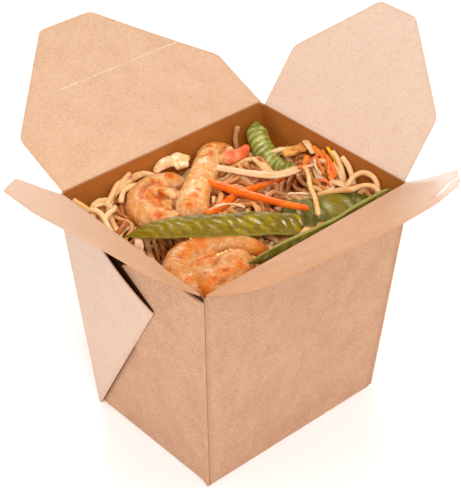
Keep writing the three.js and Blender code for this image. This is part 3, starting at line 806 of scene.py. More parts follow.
def pocket_lift(u, v, foot, corner, rim, tip):
    """How far the loose outer layer stands off: nothing at the foot, growing straight out to the cut edge
    between tip and rim, where it bulges, and to the rim."""
    share_at_peak, peak, at_rim = POCKET["share"], POCKET["lift"], POCKET["rim_lift"]
    bend = (peak - share_at_peak * at_rim) / (share_at_peak * (1 - share_at_peak))
    ray = np.stack([u, v], -1) - foot

    def crossing(start, end):
        """Where the ray from the foot through each place meets an edge: share of the edge, reach."""
        edge = end - start
        to_start = start - foot
        det = ray[:, 0] * -edge[1] + ray[:, 1] * edge[0]
        det = np.where(np.abs(det) < 1e-9, 1e-9, det)
        reach = (to_start[0] * -edge[1] + to_start[1] * edge[0]) / det
        share = (ray[:, 0] * to_start[1] - ray[:, 1] * to_start[0]) / det
        return share, reach

    cut_share, cut_reach = crossing(tip, rim)
    rim_share, rim_reach = crossing(rim, corner)
    cut_lift = at_rim * cut_share + bend * cut_share * (1 - cut_share)
    on_cut = (cut_share >= 0) & (cut_share <= 1) & (cut_reach > 0)
    lift = np.where(on_cut, cut_lift / np.maximum(cut_reach, 1), 0)
    on_rim = ~on_cut & (rim_share >= 0) & (rim_share <= 1)
    return np.where(on_rim, at_rim * (1 - rim_share) / np.maximum(rim_reach, 1), lift)


def cut_shadow(u, v, web):
    """Above 0 on the strip of the lower web where the upper one's cut edge casts a painted shadow."""
    rim, tip = web[2:]
    along = normalised(rim - tip)
    beyond = (u - tip[0]) * along[1] - (v - tip[1]) * along[0]
    before_tip = (tip - np.stack([u, v], -1)) @ along
    return 0.5 - np.maximum(beyond, before_tip)


def short_wall_webs():
    """One short wall's folded webs: the front corner's two layers, the back corner's over them, and that
    one's outer layer, loose along its cut edge as a pocket."""
    flat = lambda level: lambda u, v, w: on_short_wall(u, v, level + w)
    ordered = lambda corners, side: corners[::-1] if side > 0 else corners
    shapes = []
    lower = web_corners(1, BOARD, LOWER_GUSSET)
    shapes.append(sheet(ordered(lower, -1), flat(0.95 * BOARD), 2 * BOARD))
    upper = web_corners(-1, 2 * BOARD)
    shapes.append(sheet(ordered(upper, 1), flat(1.45 * BOARD), 3 * BOARD))
    loose = web_corners(-1, 1.2 * BOARD)
    lay = lambda u, v, w: on_short_wall(u, v, 3.55 * BOARD + pocket_lift(u, v, *loose) + w)
    shapes.append(sheet(ordered(loose, 1), lay))
    at = lambda place, out: on_short_wall(place[0], place[1], out)
    foot, corner, _, tip = lower
    shapes.append(rod(at(foot, BOARD), at(corner, BOARD), BOARD))
    shapes.append(rod(at(foot, BOARD), at(tip, BOARD), BOARD))
    foot, corner, _, tip = upper
    shapes.append(rod(at(foot, 2 * BOARD), at(corner, 2 * BOARD), 2 * BOARD, sides=16))
    foot, _, _, tip = loose
    shapes.append(rod(at(foot, 3 * BOARD), at(tip, 3 * BOARD), BOARD))
    # The loose layer is painted paler as painted light. The upper web's sheet is painted with shade, which
    # shows along its cut edge, and the lower web gets a painted shadow along that edge.
    for index, shape in enumerate(shapes):
        pale, gap = 0.9 if index in (2, 6) else 0, 1 if index == 1 else -1
        shape.with_fields(inside=0, soaked=0, scuffed=0, pale=pale, gap=gap)
    u, v, _ = shapes[0].fields["board"].T
    shapes[0].with_fields(gap=cut_shadow(u, v, loose))
    return joined(shapes)


def half_turn(shape):
    return Shape(shape.places * [-1, -1, 1], shape.faces, **shape.fields)


def rounded_outline(corners, radii, steps=6):
    """A polygon with each corner rounded, except the first and last."""
    corners = np.asarray(corners, float)
    places = [corners[0]]
    for before, here, after, radius in zip(corners, corners[1:], corners[2:], radii):
        start = here + radius * normalised(before - here)
        end = here + radius * normalised(after - here)
        for t in np.linspace(0, 1, steps):
            places.append((1 - t) ** 2 * start + 2 * t * (1 - t) * here + t**2 * end)
    return np.array([*places, corners[-1]])


def slit_outline(outline):
    """The outline with the lock's slit cut in from each slanted edge."""
    start, end = np.array(SLIT["from"]), np.array(SLIT["to"])
    along = normalised(end - start)
    aside = np.array([-along[1], along[0]]) * SLIT["width"] / 2
    made = []
    for here, after in zip(outline, np.roll(outline, -1, axis=0)):
        made.append(here)
        sign = np.sign(here[0])
        mirror = np.array([sign, 1])
        hits = []
        for edge in (-aside, aside):
            from_, to = (start + edge) * mirror, (end + edge) * mirror
            a, b = to - from_, after - here
            det = a[0] * -b[1] + a[1] * b[0]
            if abs(det) < 1e-9 or here[0] * after[0] < 0:
                continue
            offset = here - from_
            share = (offset[0] * -b[1] + offset[1] * b[0]) / det
            place = (a[0] * offset[1] - a[1] * offset[0]) / det
            if 0 < share < 1 and 0 < place < 1:
                hits.append((place, from_ + a * share, to))
        if len(hits) == 2:
            hits.sort(key=lambda hit: hit[0])
            made += [hits[0][1], hits[0][2], hits[1][2], hits[1][1]]
    return np.array(made)


def tip_curl(u, v):
    """The front flap's right end curls up, the hook outside the slit a little less."""
    (start_u, start_v), (end_u, end_v) = SLIT["from"], SLIT["to"]
    slit_v = end_v + (-u - end_u) * (start_v - end_v) / (start_u - end_u)
    hook = np.clip((-u - end_u) / 8, 0, 1) * (v > slit_v)
    return TIP_CURL * np.clip(-u / 26, 0, 1) ** 1.2 * np.clip(v / 50, 0, 1) - HOOK_DROP * hook


def flap(side, size, turn, distance, outline):
    """A flap that starts in a round edge on its crease and bows a little towards its tip."""
    tilt = math.radians(FLAP_TILT[side])
    outwards = turn + math.pi / 2
    hinge = Vector((distance * math.cos(outwards), distance * math.sin(outwards), HEIGHT + size["rise"]))
    turned = np.array(Matrix.Rotation(turn, 3, "Z") @ Matrix.Rotation(tilt, 3, "X"))

    def lay(u, v, w):
        sag = FLAP_BOW[side] * np.sin(np.pi * np.clip(v / size["reach"], 0, 1)) ** 0.8
        if side == "front":
            sag = sag - tip_curl(u, v)
        return np.stack([u, v, w - sag], -1) @ turned.T + np.array(hinge)

    panel = sheet(outline, lay)
    crease = rod(*lay(np.array([-size["half"], size["half"]]), np.zeros(2), np.zeros(2)), BOARD / 2 + 0.01)
    u, v, _ = panel.fields["board"].T
    # Painted light: each flap is painted paler where light falls on it, the front one most towards its right
    # end, as in the photo.
    glare = (v - 1.2 * u - 45) / 40 + 0.4 * np.clip((-u - 42) / 8, 0, 1)
    pale = {
        "front": 1.6 * np.clip(glare, 0, 1),
        "back": 0.1,
        "left": np.clip(0.3 + 0.0125 * u + 0.008 * v, 0, 1),
        "right": 1,
    }
    shape = joined([panel.with_fields(pale=pale[side]), crease.with_fields(pale=np.mean(pale[side]))])
    sink = dip(shape.places)
    if side == "left":  # its tip stays up, so that it clears the right flap when both are closed
        along_sides = np.clip(v / size["side_reach"], 0, 1)
        beyond = np.clip((v - size["side_reach"]) / 18, 0, 1)
        sink[: len(v)] *= 1 - 0.35 * along_sides - 0.65 * beyond
    shape.places[:, 2] -= sink
    # The flap is darkened, more near the sunken corner: a grease stain and painted shade.
    soaked = np.clip(GREASE_AND_SHADE[side] + 0.2 * (sink / FRONT_DIP) ** 1.5, 0, 1)
    return shape.with_fields(soaked=soaked, depth=1, gap=-1, scuffed=side == "back")


def flap_outline(size, tip_rounds=(FLAP_CORNER, FLAP_CORNER)):
    half, side_reach = size["half"], size["side_reach"]
    right = np.array([(half, 0), (half, side_reach), (size["tip_half"], size["reach"])], float)
    return rounded_outline([*right, *(right * [-1, 1])[::-1]], [FLAP_CORNER, *tip_rounds, FLAP_CORNER])


def add_carton():
    webs = short_wall_webs()
    webs = joined([webs, half_turn(webs)]).with_fields(depth=0)
    webs.places[:, 2] -= dip(webs.places) * np.clip(webs.places[:, 2] / HEIGHT, 0, 1)
    shape = joined([carton_walls(), webs])
    add_piece("carton_board", shape, KRAFT, ["carton"], sharp_degrees=BOARD_SHARP)
    long_crease = RIM_HALF[1] - BOARD / 2
    short_crease = RIM_HALF[0] - BOARD / 2
    long_outline = flap_outline(LONG_FLAP)
    short_outline = flap_outline(SHORT_FLAP)
    flaps = [
        ("back", LONG_FLAP, 0, long_crease, long_outline),
        ("front", LONG_FLAP, math.pi, long_crease, slit_outline(flap_outline(LONG_FLAP, FRONT_TIP_ROUNDS))),
        ("left", SHORT_FLAP, math.pi / 2, short_crease, short_outline),
        ("right", SHORT_FLAP, -math.pi / 2, short_crease, short_outline),
    ]
    for side, size, turn, distance, outline in flaps:
        shape = flap(side, size, turn, distance, outline)
        # Where the rim sinks below the joint's axis, the flap stays on the rim, carried by no body; the
        # places of its bend along the crease are given, and the bend is not made.
        bends = None
        if side in SUNKEN_SIDES:
            outwards = np.array(SUNKEN_SIDES[side])
            bends = [outwards * (distance + reach) + [0, 0, HEIGHT] for reach in BEND_REACH]
        node = f"flap_{side}"
        add_piece(f"{node}_board", shape, KRAFT, [node], f"{side}_flap", BOARD_SHARP, bends)


add_carton()


# ---- Toppings ----

fixed_shapes = []  # what the loose noodles lie under and around


def add_topping(node, shape, material):
    shape.places[:, 2] = np.minimum(shape.places[:, 2], FOOD_TOP)
    fixed_shapes.append(shape)
    add_piece(f"{node}_food", shape, material, [node])


def graded(radii, share):
    return np.interp(share, np.linspace(0, 1, len(radii)), radii)


def flesh(points, radii, step=1.0):
    """A stretch of a shrimp: round, a little flat from above, and rounded at both ends."""

    def surface(share, angle):
        radius = graded(radii, share) * round_end(share, 0.12)
        return radius * np.cos(angle), 0.92 * radius * np.sin(angle)

    return swept(points, surface, sides=28, step=step)


def near(places, spots):
    """A field that is 1 at each spot (x, y, z, radius) and fades out around it."""
    total = np.zeros(len(places))
    for x, y, z, radius in spots:
        distance = np.linalg.norm((places - [x, y, z]) * [1, 1, 0.4], axis=1)
        total = np.maximum(total, np.exp(-((distance / radius) ** 2)))
    return total


def along_line(places, points, width):
    """A field that is 1 on a smooth line through points and fades out beside it."""
    line, _, _ = smooth_curve(points, np.linspace(0, 1, 60))
    distance = np.linalg.norm(places[:, None] - line[None], axis=-1).min(1)
    return np.exp(-((distance / width) ** 2))


def shrimp_body(parts, segments, ridges, stains, seams, sauced, tail=(), pale=()):
    """A curled shrimp: its parts fused, then the rings of its segments, seams and wrinkles."""
    shape = fused([flesh(*part) for part in parts], 0.55, 5)
    points, radii = parts[0][:2]
    shares = np.linspace(0, 1, 160)
    line, _, _ = smooth_curve(points, shares)
    offset = shape.places[:, None] - line[None]
    distance = np.linalg.norm(offset, axis=-1)
    nearest = distance.argmin(1)
    share = shares[nearest]
    on_body = np.clip(1.6 - distance.min(1) / np.maximum(graded(radii, share), 1), 0, 0.4) / 0.4
    outwards = normalised((line - line.mean(0)) * [1, 1, 0] + [0, 0, 4])
    back = np.clip((normalised(offset[np.arange(len(nearest)), nearest]) * outwards[nearest]).sum(-1), 0, 1)
    step = (share * segments) % 1
    ridge = np.where(step < 0.82, step / 0.82, (1 - step) / 0.18) ** 1.5
    seam = np.zeros(len(share))
    for points_of_seam, width in seams:
        seam = np.maximum(seam, along_line(shape.places, points_of_seam, width))
    places = shape.places
    heights = ridges * on_body * (ridge - 0.55) * (0.35 + 0.65 * back)
    heights += 0.22 * wobble(places, 9, 5) + 0.16 * wobble(places, 3.6, 6) + 0.09 * wobble(places, 1.7, 7)
    heights -= 1.5 * seam
    swollen(shape, heights)
    band = on_body * back * np.clip(1.2 - 2.4 * np.abs(step - 0.55), 0, 1)
    shape.with_fields(band=band, seam=seam, sauced=sauced, stain=near(shape.places, stains))
    return shape.with_fields(tail=near(shape.places, tail), pale=near(shape.places, pale))


def pod(
    points, half_breadth, half_thickness, up, rib_count, slant, rib_depth, seed, tips,
    beads=0.12, rim_width=0.05, vivid=(0, 0.01),
):
    """A pea pod: thin, with a raised string along both edges, ribs, and a swell over each pea. It narrows
    to a point over the first share `tips` of its length and ends bluntly over the last. It is bright green
    about one place, `vivid`: share of the length and spread."""

    def surface(share, angle):
        start, end = np.clip(share / tips[0], 0, 1), np.clip((1 - share) / tips[1], 0, 1)
        outline = (1 - (1 - start) ** 1.45) * np.sqrt(np.maximum(1 - (1 - end) ** 2.4, 1e-4))
        outline = np.maximum(outline, 0.02)
        uneven = 1 + 0.05 * np.sin(9 * share + seed) + 0.03 * np.sin(23 * share + 2 * seed)
        breadth = half_breadth * outline * uneven
        side = np.cos(angle)
        lens = np.sqrt(np.maximum(1 - side**2, 0)) ** 1.25
        swell = 1 + beads * np.cos(2 * np.pi * rib_count / 2 * share)
        height = half_thickness * np.minimum(outline * 1.3, 1) * swell * lens * np.sign(np.sin(angle))
        string = 0.35 * np.exp(-(((np.abs(side) - 0.96) / 0.06) ** 2)) * outline
        return breadth * side, height + string * np.sign(np.sin(angle))

    shape = swept(points, surface, up, sides=40, step=0.6)
    share, side = shape.fields["share"], shape.fields["side"]
    places = shape.places
    phase = rib_count * share + slant * side + 0.3 * wobble(places, 13, seed)
    phase = phase + 0.12 * wobble(places, 5, seed + 4)
    rib = 0.5 + 0.5 * np.cos(2 * np.pi * phase)
    middle = np.clip(1.15 - np.abs(side), 0, 1)
    swollen(shape, rib_depth * (rib - 0.5) * middle + 0.14 * wobble(places, 3, seed + 1))
    shape.fields = {
        "rib": rib * middle,
        "rim": np.exp(-(((1 - np.abs(side)) / rim_width) ** 2)),
        "vivid": np.exp(-(((share - vivid[0]) / vivid[1]) ** 2)),
    }
    return shape


def cut_stick(points, half_breadth, half_thickness, seed=0, squareness=0.55):
    """A cut stick or shred: nearly square, a little uneven, thinner at its ends."""

    def surface(share, angle):
        outline = round_end(share, 0.05) * (0.86 + 0.1 * np.sin(5 * share + seed))
        across = half_breadth * outline * power(np.cos(angle), squareness)
        return across, half_thickness * outline * power(np.sin(angle), squareness)

    shape = swept(points, surface, sides=20, step=0.7)
    return swollen(shape, 0.12 * wobble(shape.places, 2.8, seed + 3))


def strand(points, radius=NOODLE_RADIUS, seed=0, tint=0.4):
    """A round strand, a little uneven, with rounded ends."""

    def surface(share, angle):
        size = radius * round_end(share, 0.03) * (1 + 0.05 * np.sin(14 * share + seed))
        return size * np.cos(angle), size * np.sin(angle) * 0.94

    shape = swept(points, surface, sides=14, step=0.8)
    return shape.with_fields(tint=tint)


def add_shrimps():
    front = shrimp_body(
        [
            (
                [
                    [-6.5, -25.4, 91], [-12, -20, 92], [-18, -13.4, 92.4], [-25, -9.6, 92],
                    [-33, -8.6, 91.5], [-40, -12.5, 91], [-42.5, -20.5, 90], [-41, -29, 90],
                ],
                [3.4, 4.2, 4.6, 5.2, 5.8, 6, 5.6, 5],
            ),
            ([[-42, -35, 89], [-34, -31.5, 91], [-26, -28, 92.4], [-18.5, -26, 92]], [4.4, 6.8, 7.8, 6.6]),
            ([[-38, -17, 90], [-31, -19, 91], [-24, -21, 90.5]], [5, 6, 5]),
            ([[-40, -22, 90], [-37, -26, 91], [-38, -32, 90]], [5.4, 6.2, 5.4]),
        ],
        6, 0.25,
        [
            (-9, -24.6, 95, 3.6), (-15, -25, 96, 3), (-26.5, -9.5, 96, 3.2), (-32, -10, 96, 2.6),
            (-36, -12, 97, 2.6), (-30, -18.8, 97, 3), (-28, -19, 97, 1.8), (-34, -18.6, 97, 2),
            (-38.5, -30.5, 97, 3), (-33, -31.5, 97, 2.8), (-27, -32.5, 96, 2.6), (-43.5, -32, 93, 4),
            (-43, -24, 96, 2), (-24, -27, 99, 2.2),
        ],
        [
            (
                [
                    [-38.6, -11.5, 97], [-37, -16.4, 97.3], [-33.5, -19, 97.3], [-28, -19.5, 97],
                    [-22, -18.6, 96],
                ],
                1.0,
            ),
            ([[-46.5, -22, 95], [-42.8, -23.2, 96], [-39.4, -24.8, 97], [-36, -25.2, 98]], 0.7),
            ([[-43, -20, 96], [-39.5, -21.6, 97], [-36.6, -22.4, 97.5]], 0.5),
            ([[-46, -26, 94], [-43, -30, 95.5], [-38, -33.4, 96], [-30, -34, 96]], 0.8),
        ],
        1.0,
    )
    add_topping("shrimp_front", front, SHRIMP)
    back = shrimp_body(
        [
            (
                [
                    [-18, 6, 94], [-7, 16, 95], [5, 25, 95], [12, 31, 94.6], [18, 35, 94.4],
                    [22.6, 34, 94.2], [25.6, 29.6, 94],
                ],
                [6.6, 6.4, 5.8, 5.6, 5.4, 5, 4.2],
            ),
            ([[13, 35.4, 94.6], [19.6, 36.8, 94.6]], [3.4, 3.4]),
            (
                [[19, 33, 94], [21.6, 28.8, 94.4], [26.6, 27, 94.8], [32.4, 28.6, 95.8]],
                [3.6, 3.5, 2.9, 1.1],
            ),
        ],
        6, 0.08,
        [
            (14, 31, 99, 2.2), (10, 30.4, 99, 1.6), (-12, 10, 99, 2.4), (-8, 13, 99.6, 2), (17, 35, 98, 2),
            (22, 35, 97, 2.6), (-4, 19, 100, 1.6), (-16, 8, 99, 2.4),
        ],
        [
            ([[9, 33, 98], [12.5, 30, 99], [15, 26, 97]], 0.6),
            ([[19, 30.5, 97], [22, 31.5, 98], [26, 33.5, 97]], 0.7),
        ],
        0.1,
        [(22, 27.4, 94, 3.2), (27, 26.4, 95, 4), (32, 28.4, 96, 4)],
    )
    add_topping("shrimp_back", back, SHRIMP)
    left = shrimp_body(
        [
            (
                [
                    [0, 30, 91.5], [-6, 33.5, 92], [-13, 34.5, 92.5], [-20, 32, 93], [-26, 26, 92.5],
                    [-27, 18.5, 92], [-22, 13.5, 91], [-14.5, 13, 90],
                ],
                [4, 4.6, 5.2, 5.8, 6, 5.8, 5.2, 4],
            ),
            ([[-22, 27, 90.4], [-16, 24, 91], [-10, 20, 90.6], [-5, 18, 90]], [5, 6, 5.6, 4]),
            ([[-20, 31, 93], [-15, 28, 93.6], [-11, 22, 94.4]], [3, 3, 2.4]),
            ([[-16, 27.4, 96.2], [-16, 22, 97.2], [-14.6, 18, 96.4]], [1.3, 2.1, 1.5]),
            ([[-20, 20.4, 95], [-17.6, 16.4, 95.6]], [1.6, 2]),
        ],
        6, 0.25,
        [
            (-24, 25, 97, 3.2), (-21, 28, 98, 2.8), (-19, 24, 97, 3.2), (-27, 14, 96, 2.6),
            (-21, 15, 96, 2), (-6, 33, 97, 2.5), (-12, 31, 97.5, 2), (-14, 33, 98, 1.6),
        ],
        [
            (
                [[-28, 20.4, 96], [-25.4, 26.4, 97], [-20.5, 30.6, 97.5], [-13.6, 32, 97.5], [-7.2, 31, 97]],
                1.1,
            ),
            ([[-18.6, 26, 96], [-18.6, 21.6, 96.5], [-17, 18, 96]], 0.9),
            ([[-13.6, 27, 97], [-13, 21.6, 97.4], [-12, 18, 97]], 0.8),
        ],
        0.45,
        pale=[(-16, 25.6, 98.6, 1.8), (-15.8, 21.6, 99, 2), (-14.6, 18.4, 98.4, 1.8)],
    )
    add_topping("shrimp_left", left, SHRIMP)


def add_pods():
    long_pod = pod(
        [
            [-46, 11.5, 96], [-37, 6, 97.5], [-28, 0, 98], [-18, -8, 98], [-7, -15, 97.5], [2, -22, 97],
            [9, -28, 96],
        ],
        5.3, 2, [-0.2, -0.25, 1], 15, 1.1, 0.55, 2, (0.3, 0.05), vivid=(0.1, 0.24),
    )
    add_topping("snow_pea_long", long_pod, POD_OLIVE)
    right = pod(
        [[46, -29, 92.2], [36, -27, 92.7], [28, -24.5, 92.7], [20, -20, 92.2], [12, -13, 91.7]],
        7.4, 2, [-0.1, -0.35, 1], 6, 0.5, 0.8, 5, (0.25, 0.08), vivid=(0.42, 0.09),
    )
    add_topping("snow_pea_right", right, POD_GREY)
    wall = pod(
        [
            [-25, -34, 98.4], [-14, -34.5, 96.4], [0, -35, 94.2], [15, -35.4, 93], [34, -36, 94.6],
            [48, -36.4, 98.6],
        ],
        6, 1.7, [0, 1, 0], 10, 0.3, 0.3, 8, (0.35, 0.25), rim_width=0.09,
    )
    add_topping("snow_pea_wall", wall, POD_GREY)
    corner = pod(
        [
            [45.4, 38.4, 98], [42.4, 34.4, 95], [39.4, 27.4, 92], [37.4, 20.4, 90], [37.4, 13.4, 89],
            [39.4, 7.4, 90],
        ],
        4.3, 3.1, [-0.5, -0.4, 0.8], 13, 0.3, 0.8, 11, (0.14, 0.22), 0.05,
    )
    add_topping("snow_pea_corner", corner, POD_BRIGHT)


def add_strips():
    carrots = {
        "carrot_stick_long": (
            [[0, 18, 98], [4, 5, 98], [8, -6, 98], [12, -15, 98], [17, -23, 97.6]], 1.7, 1.4,
        ),
        "carrot_stick_short": (
            [[-14, 1, 97], [-4, 3, 95.5], [7, 7, 94], [18, 7, 92.5], [29, 6, 91], [40, 8, 90]], 1.7, 1.4,
        ),
        "carrot_shred_1": ([[49.5, 9, 97.5], [47.5, 2, 97.5], [44, -6, 96.5], [41, -11, 94]], 1.3, 0.8),
        "carrot_shred_2": ([[39.5, 3, 92], [43, 6, 93], [47, 9, 94]], 1.5, 0.7),
        "carrot_shred_3": ([[50, 2, 95.5], [48.5, -3, 95.5], [46, -10, 94]], 1.3, 0.8),
    }
    for seed, (node, stick) in enumerate(carrots.items()):
        material = CARROT if "stick" in node else RED_SHRED
        add_topping(node, cut_stick(*stick, seed), material)
    onions = {
        "onion_strip": (
            [[9, 26, 97], [14, 19, 96.5], [19, 12, 96], [25, 6, 95.5], [31, 4, 95], [39, 5, 93.5]],
            2.5, 0.9,
        ),
        "onion_shred_1": ([[44, 3, 95.5], [40.5, -3, 95], [38, -8, 93]], 1.7, 0.6),
        "onion_shred_2": ([[37, -14, 92], [40, -12.5, 94.4], [41, -17, 95.2], [41, -22, 94.6]], 1.9, 0.6),
        "onion_shred_3": ([[50, 14, 97.6], [48.6, 10.5, 97.8], [46.4, 5, 97]], 1.5, 0.6),
    }
    for seed, (node, stick) in enumerate(onions.items(), 10):
        add_topping(node, cut_stick(*stick, seed, 0.75), ONION)
    sprouts = {
        "bean_sprout_right": (
            [[38, 1, 96], [33, -6, 97.6], [28, -12, 98], [23, -20, 98], [17, -28, 97]], 1.0,
        ),
        "bean_sprout_left": ([[-48, 39.5, 99.6], [-47.5, 37, 99], [-46.5, 34, 98], [-44, 30, 95.5]], 1.2),
    }
    for seed, (node, (points, radius)) in enumerate(sprouts.items(), 20):
        add_topping(node, strand(points, radius, seed), SPROUT)
    chunk = cut_stick([[39, 15, 95], [44, 13.5, 95.6], [49.5, 12, 96]], 2.6, 1.5, 30, 0.8)
    swollen(chunk, 0.35 * wobble(chunk.places, 2.4, 31))
    add_topping("omelette_strip", chunk, OMELETTE)
    curl = fused(
        [
            flesh([[-9.4, 38, 96], [-5, 38.6, 97.6], [0, 38, 98.2]], [1.3, 2.4, 2.4], 0.6),
            flesh([[-3, 37, 97.4], [1, 37.4, 98.6], [6.4, 34.4, 97.8]], [1.8, 2.3, 1.5], 0.6),
            flesh([[-1, 35.4, 96.6], [4.4, 33, 97]], [1.5, 1.7], 0.6),
        ],
        0.35, 4,
    )
    swollen(curl, 0.2 * wobble(curl.places, 4.6, 33))
    curl.fields["share"] = np.clip((curl.places[:, 0] + 11) / 18, 0, 1)
    add_topping("omelette_curl", curl, EGG_WHITE)


add_shrimps()
add_pods()
add_strips()


# ---- Noodles ----

# The heap's surface: a level with rises and hollows, each [x, y, height, spread].
HEAP_LEVEL = 88.5
HEAP_SHAPE = [
    [-45, 30, 6, 9], [46, -22, 4, 9], [44, 2, 4, 8], [-44, 8, 2, 8], [38, 37, -5, 12], [-31, 3, -5, 6],
    [-6, -24, -3, 6], [6, 18, -2, 6], [-7, 37, 6.5, 6],
]
# Dark hollows between strands, in the same form.
GAPS = [[-36, -1, -6, 5], [-3, -26, -4, 5], [7, 14, -5, 4.5], [-13, 5, -4, 4]]
HEAP_SEED = 11
LAID_STRANDS = 260
BED_DEPTH = 6.5  # of the sauce bed under the heap's surface
CELL = 0.5  # of the height map that the strands are laid on
STEP = 1.3  # along a strand
DIVE = 0.7  # the steepest slope at which a strand goes under another piece
END_SINK = 3  # how far both ends of a strand go down into the heap
TURNS = np.array([-0.09, -0.04, 0, 0.04, 0.09])  # the changes of bend that a wandering strand chooses from
SHARPEST_BEND = 0.15
SHORTEST_STRAND = 14  # places
GARLIC_SPOTS = [(-25.5, -22, 1.0), (-44, 24, 5), (6, 12, 9)]  # x, y and how far round about

# Strands that stand out of the heap: loops in the corners, and ends that lean on a wall.
SHOWN_STRANDS = [
    [
        [40, -19, 93.5], [41.5, -19.7, 96.5], [45.3, -18.9, 98], [48.3, -19.8, 98.8], [49.6, -22.1, 99],
        [49.6, -25.7, 98.5], [48.9, -28.2, 96.5], [48, -29, 93],
    ],
    [
        [31, -13.5, 93], [32.4, -17.5, 95.5], [35.3, -21.2, 97], [38.1, -24.9, 98], [42.2, -26.3, 98.5],
        [44.8, -28.6, 98.5], [45.7, -31.2, 97.5], [46, -33, 95],
    ],
    [[49.8, -2, 100], [49.4, -6, 98], [48, -9.5, 95.5], [46, -13, 92]],
    [[49.8, -7.5, 100], [49.6, -11, 98], [49, -14, 95], [47.5, -17, 91]],
    [
        [-47, 34, 94], [-46.5, 32, 97.6], [-45.4, 29, 98.8], [-45, 26, 98.4], [-46, 22, 97.4],
        [-46.4, 17, 94], [-44, 13, 91],
    ],
    [[-20, 39.4, 100.2], [-24, 39.2, 98], [-29, 38, 95.5], [-35, 34, 94], [-40, 27, 94], [-42, 20, 92]],
    [[-28, 38.6, 96], [-22, 39.2, 97.2], [-16, 39.4, 97.6], [-10, 38.6, 95], [-6, 35, 90]],
    [[36, 39, 99], [34, 38.4, 94], [33, 36, 89], [30, 33, 86]],
    [[-36, 11, 93], [-38.5, 6, 90], [-40, 2, 87], [-40, -3, 84]],
    [[4.3, -31, 92], [4.7, -31.6, 95.6], [6, -32, 97.2], [7.6, -33, 97], [8, -33.6, 94.6]],
    [[34, 22, 88], [39, 21.5, 92.6], [44, 19, 93.5], [48, 15, 91]],
    [[-46, -1, 93], [-45.6, -6, 93.4], [-45, -10, 91], [-43, -14, 87]],
    [[-42, 2, 92], [-43.5, -4, 91], [-42, -9, 89], [-39, -12, 86]],
    [[-1, -18, 92.4], [3, -23, 93.6], [7, -28, 94.6], [12, -32, 93]],
    [[-3, -21, 89], [-5, -26, 90.4], [-7, -31, 89]],
    [[43, 2, 96.5], [46, -4, 97.2], [46.6, -9, 95], [45, -14, 92]],
    [[-47, 22, 95], [-43, 25, 97.4], [-38, 27.6, 96.4], [-34, 32, 94]],
    [[-47.6, 27, 95], [-44.6, 32, 98], [-40, 35, 97.4], [-34, 36.6, 95]],
    [[-33, 36.4, 94.6], [-26.4, 38, 96.4], [-20, 38.7, 97.2], [-14, 39.2, 96.8], [-10, 39, 95]],
    [[-30, 33.6, 93], [-26, 36.4, 95.6], [-20.6, 36.8, 95.6], [-17, 38, 94]],
    [[-37, 34, 94], [-31.6, 36.2, 96.8], [-26, 39.4, 97.8], [-20, 39.7, 97]],
]

# Strips too fine for solids of their own, most of them in the cluster by the right wall.
SLIVERS = {
    "carrot": [
        [[48.5, 6.3, 97.4], [43.6, -1.9, 98], [40.1, -7.5, 95.6]],
        [[50, 4, 98.2], [44.9, -4.2, 98.6], [41.5, -9.8, 96.4]],
        [[49.6, 0.6, 97.6], [45.6, -6, 97.8], [43, -11, 95]],
        [[40.5, 3.1, 95.6], [43.7, 2.5, 97.4], [47, 0.9, 98]],
        [[38, -6, 93.6], [37.5, -10.8, 94.6], [38.3, -13.4, 93.4]],
        [[36, 5, 95.4], [38.4, 1, 96.6], [41.6, -2, 96]],
    ],
    "onion": [
        [[42, 0.4, 98.6], [39.4, -4.6, 98.6], [38, -8.2, 96.4]],
        [[36.7, 1.5, 96.4], [39.4, -1, 97.4], [42.4, -2, 97.6]],
        [[47, 21, 92.6], [46.4, 17, 93.6], [43, 15, 93]],
        [[-42, 9, 95], [-43, 6, 94], [-44.5, 1, 91]],
        [[-44.4, 31, 99], [-41, 30, 99], [-38.6, 28, 97]],
        [[30, -12, 93.4], [25, -10, 94.6], [21, -5, 93.6]],
        [[-12, -1.6, 100.2], [-8.2, -2.6, 100.2], [-4.6, -5, 100.1], [-2.4, -8.4, 99.6]],
    ],
}

# Fine things of their own kind: a strand that leans on the right wall, and limp bits of onion.
YELLOW_LINE = [[50.3, 1.4, 100.2], [49.8, -1.6, 98.8], [49, -5, 96.6], [47, -9, 94]]
LIMP_BITS = [
    [[45.4, 25.3, 90.5], [45.7, 20.3, 91.8], [44.5, 15.2, 92]],
    [[-41.2, 9.2, 96], [-43, 5.9, 94.6], [-45.1, 3.7, 92]],
    [[42, 22, 91], [43, 18, 92.4], [41, 13, 91.6]],
]
# Where the heap is darkened by sauce and painted shade: x, y, radius, how dark.
SAUCE_AND_SHADE_SPOTS = [
    [25, -2, 9, 0.7], [18, 0, 8, 0.7], [31, -3, 7, 0.7], [-40, 2, 7, 1], [-33, -2, 6, 1], [34, 38, 6, 0.6],
]


def depth_in_heap(shape, heap):
    """How far each place is darkened, 0 to 1: painted shade by how deep it lies under what was laid last,
    with the spots of sauce and painted shade added.
    """
    x, y, z = shape.places.T
    deep = np.clip((heap.read(heap.height, shape.places[:, :2]) - z - 0.6) / 3.4, 0, 1)
    for centre_x, centre_y, radius, darkness in SAUCE_AND_SHADE_SPOTS:
        spot = darkness * np.exp(-((np.hypot(x - centre_x, y - centre_y) / radius) ** 2))
        deep = deep + spot * (1 - deep)
    return shape.with_fields(deep=deep)


def heap_height(x, y):
    height = np.full(np.shape(x), float(HEAP_LEVEL))
    for centre_x, centre_y, rise, spread in HEAP_SHAPE + GAPS:
        distance = np.hypot(x - centre_x, y - centre_y)
        height = height + rise * np.exp(-0.5 * (distance / spread) ** 2)
    return height


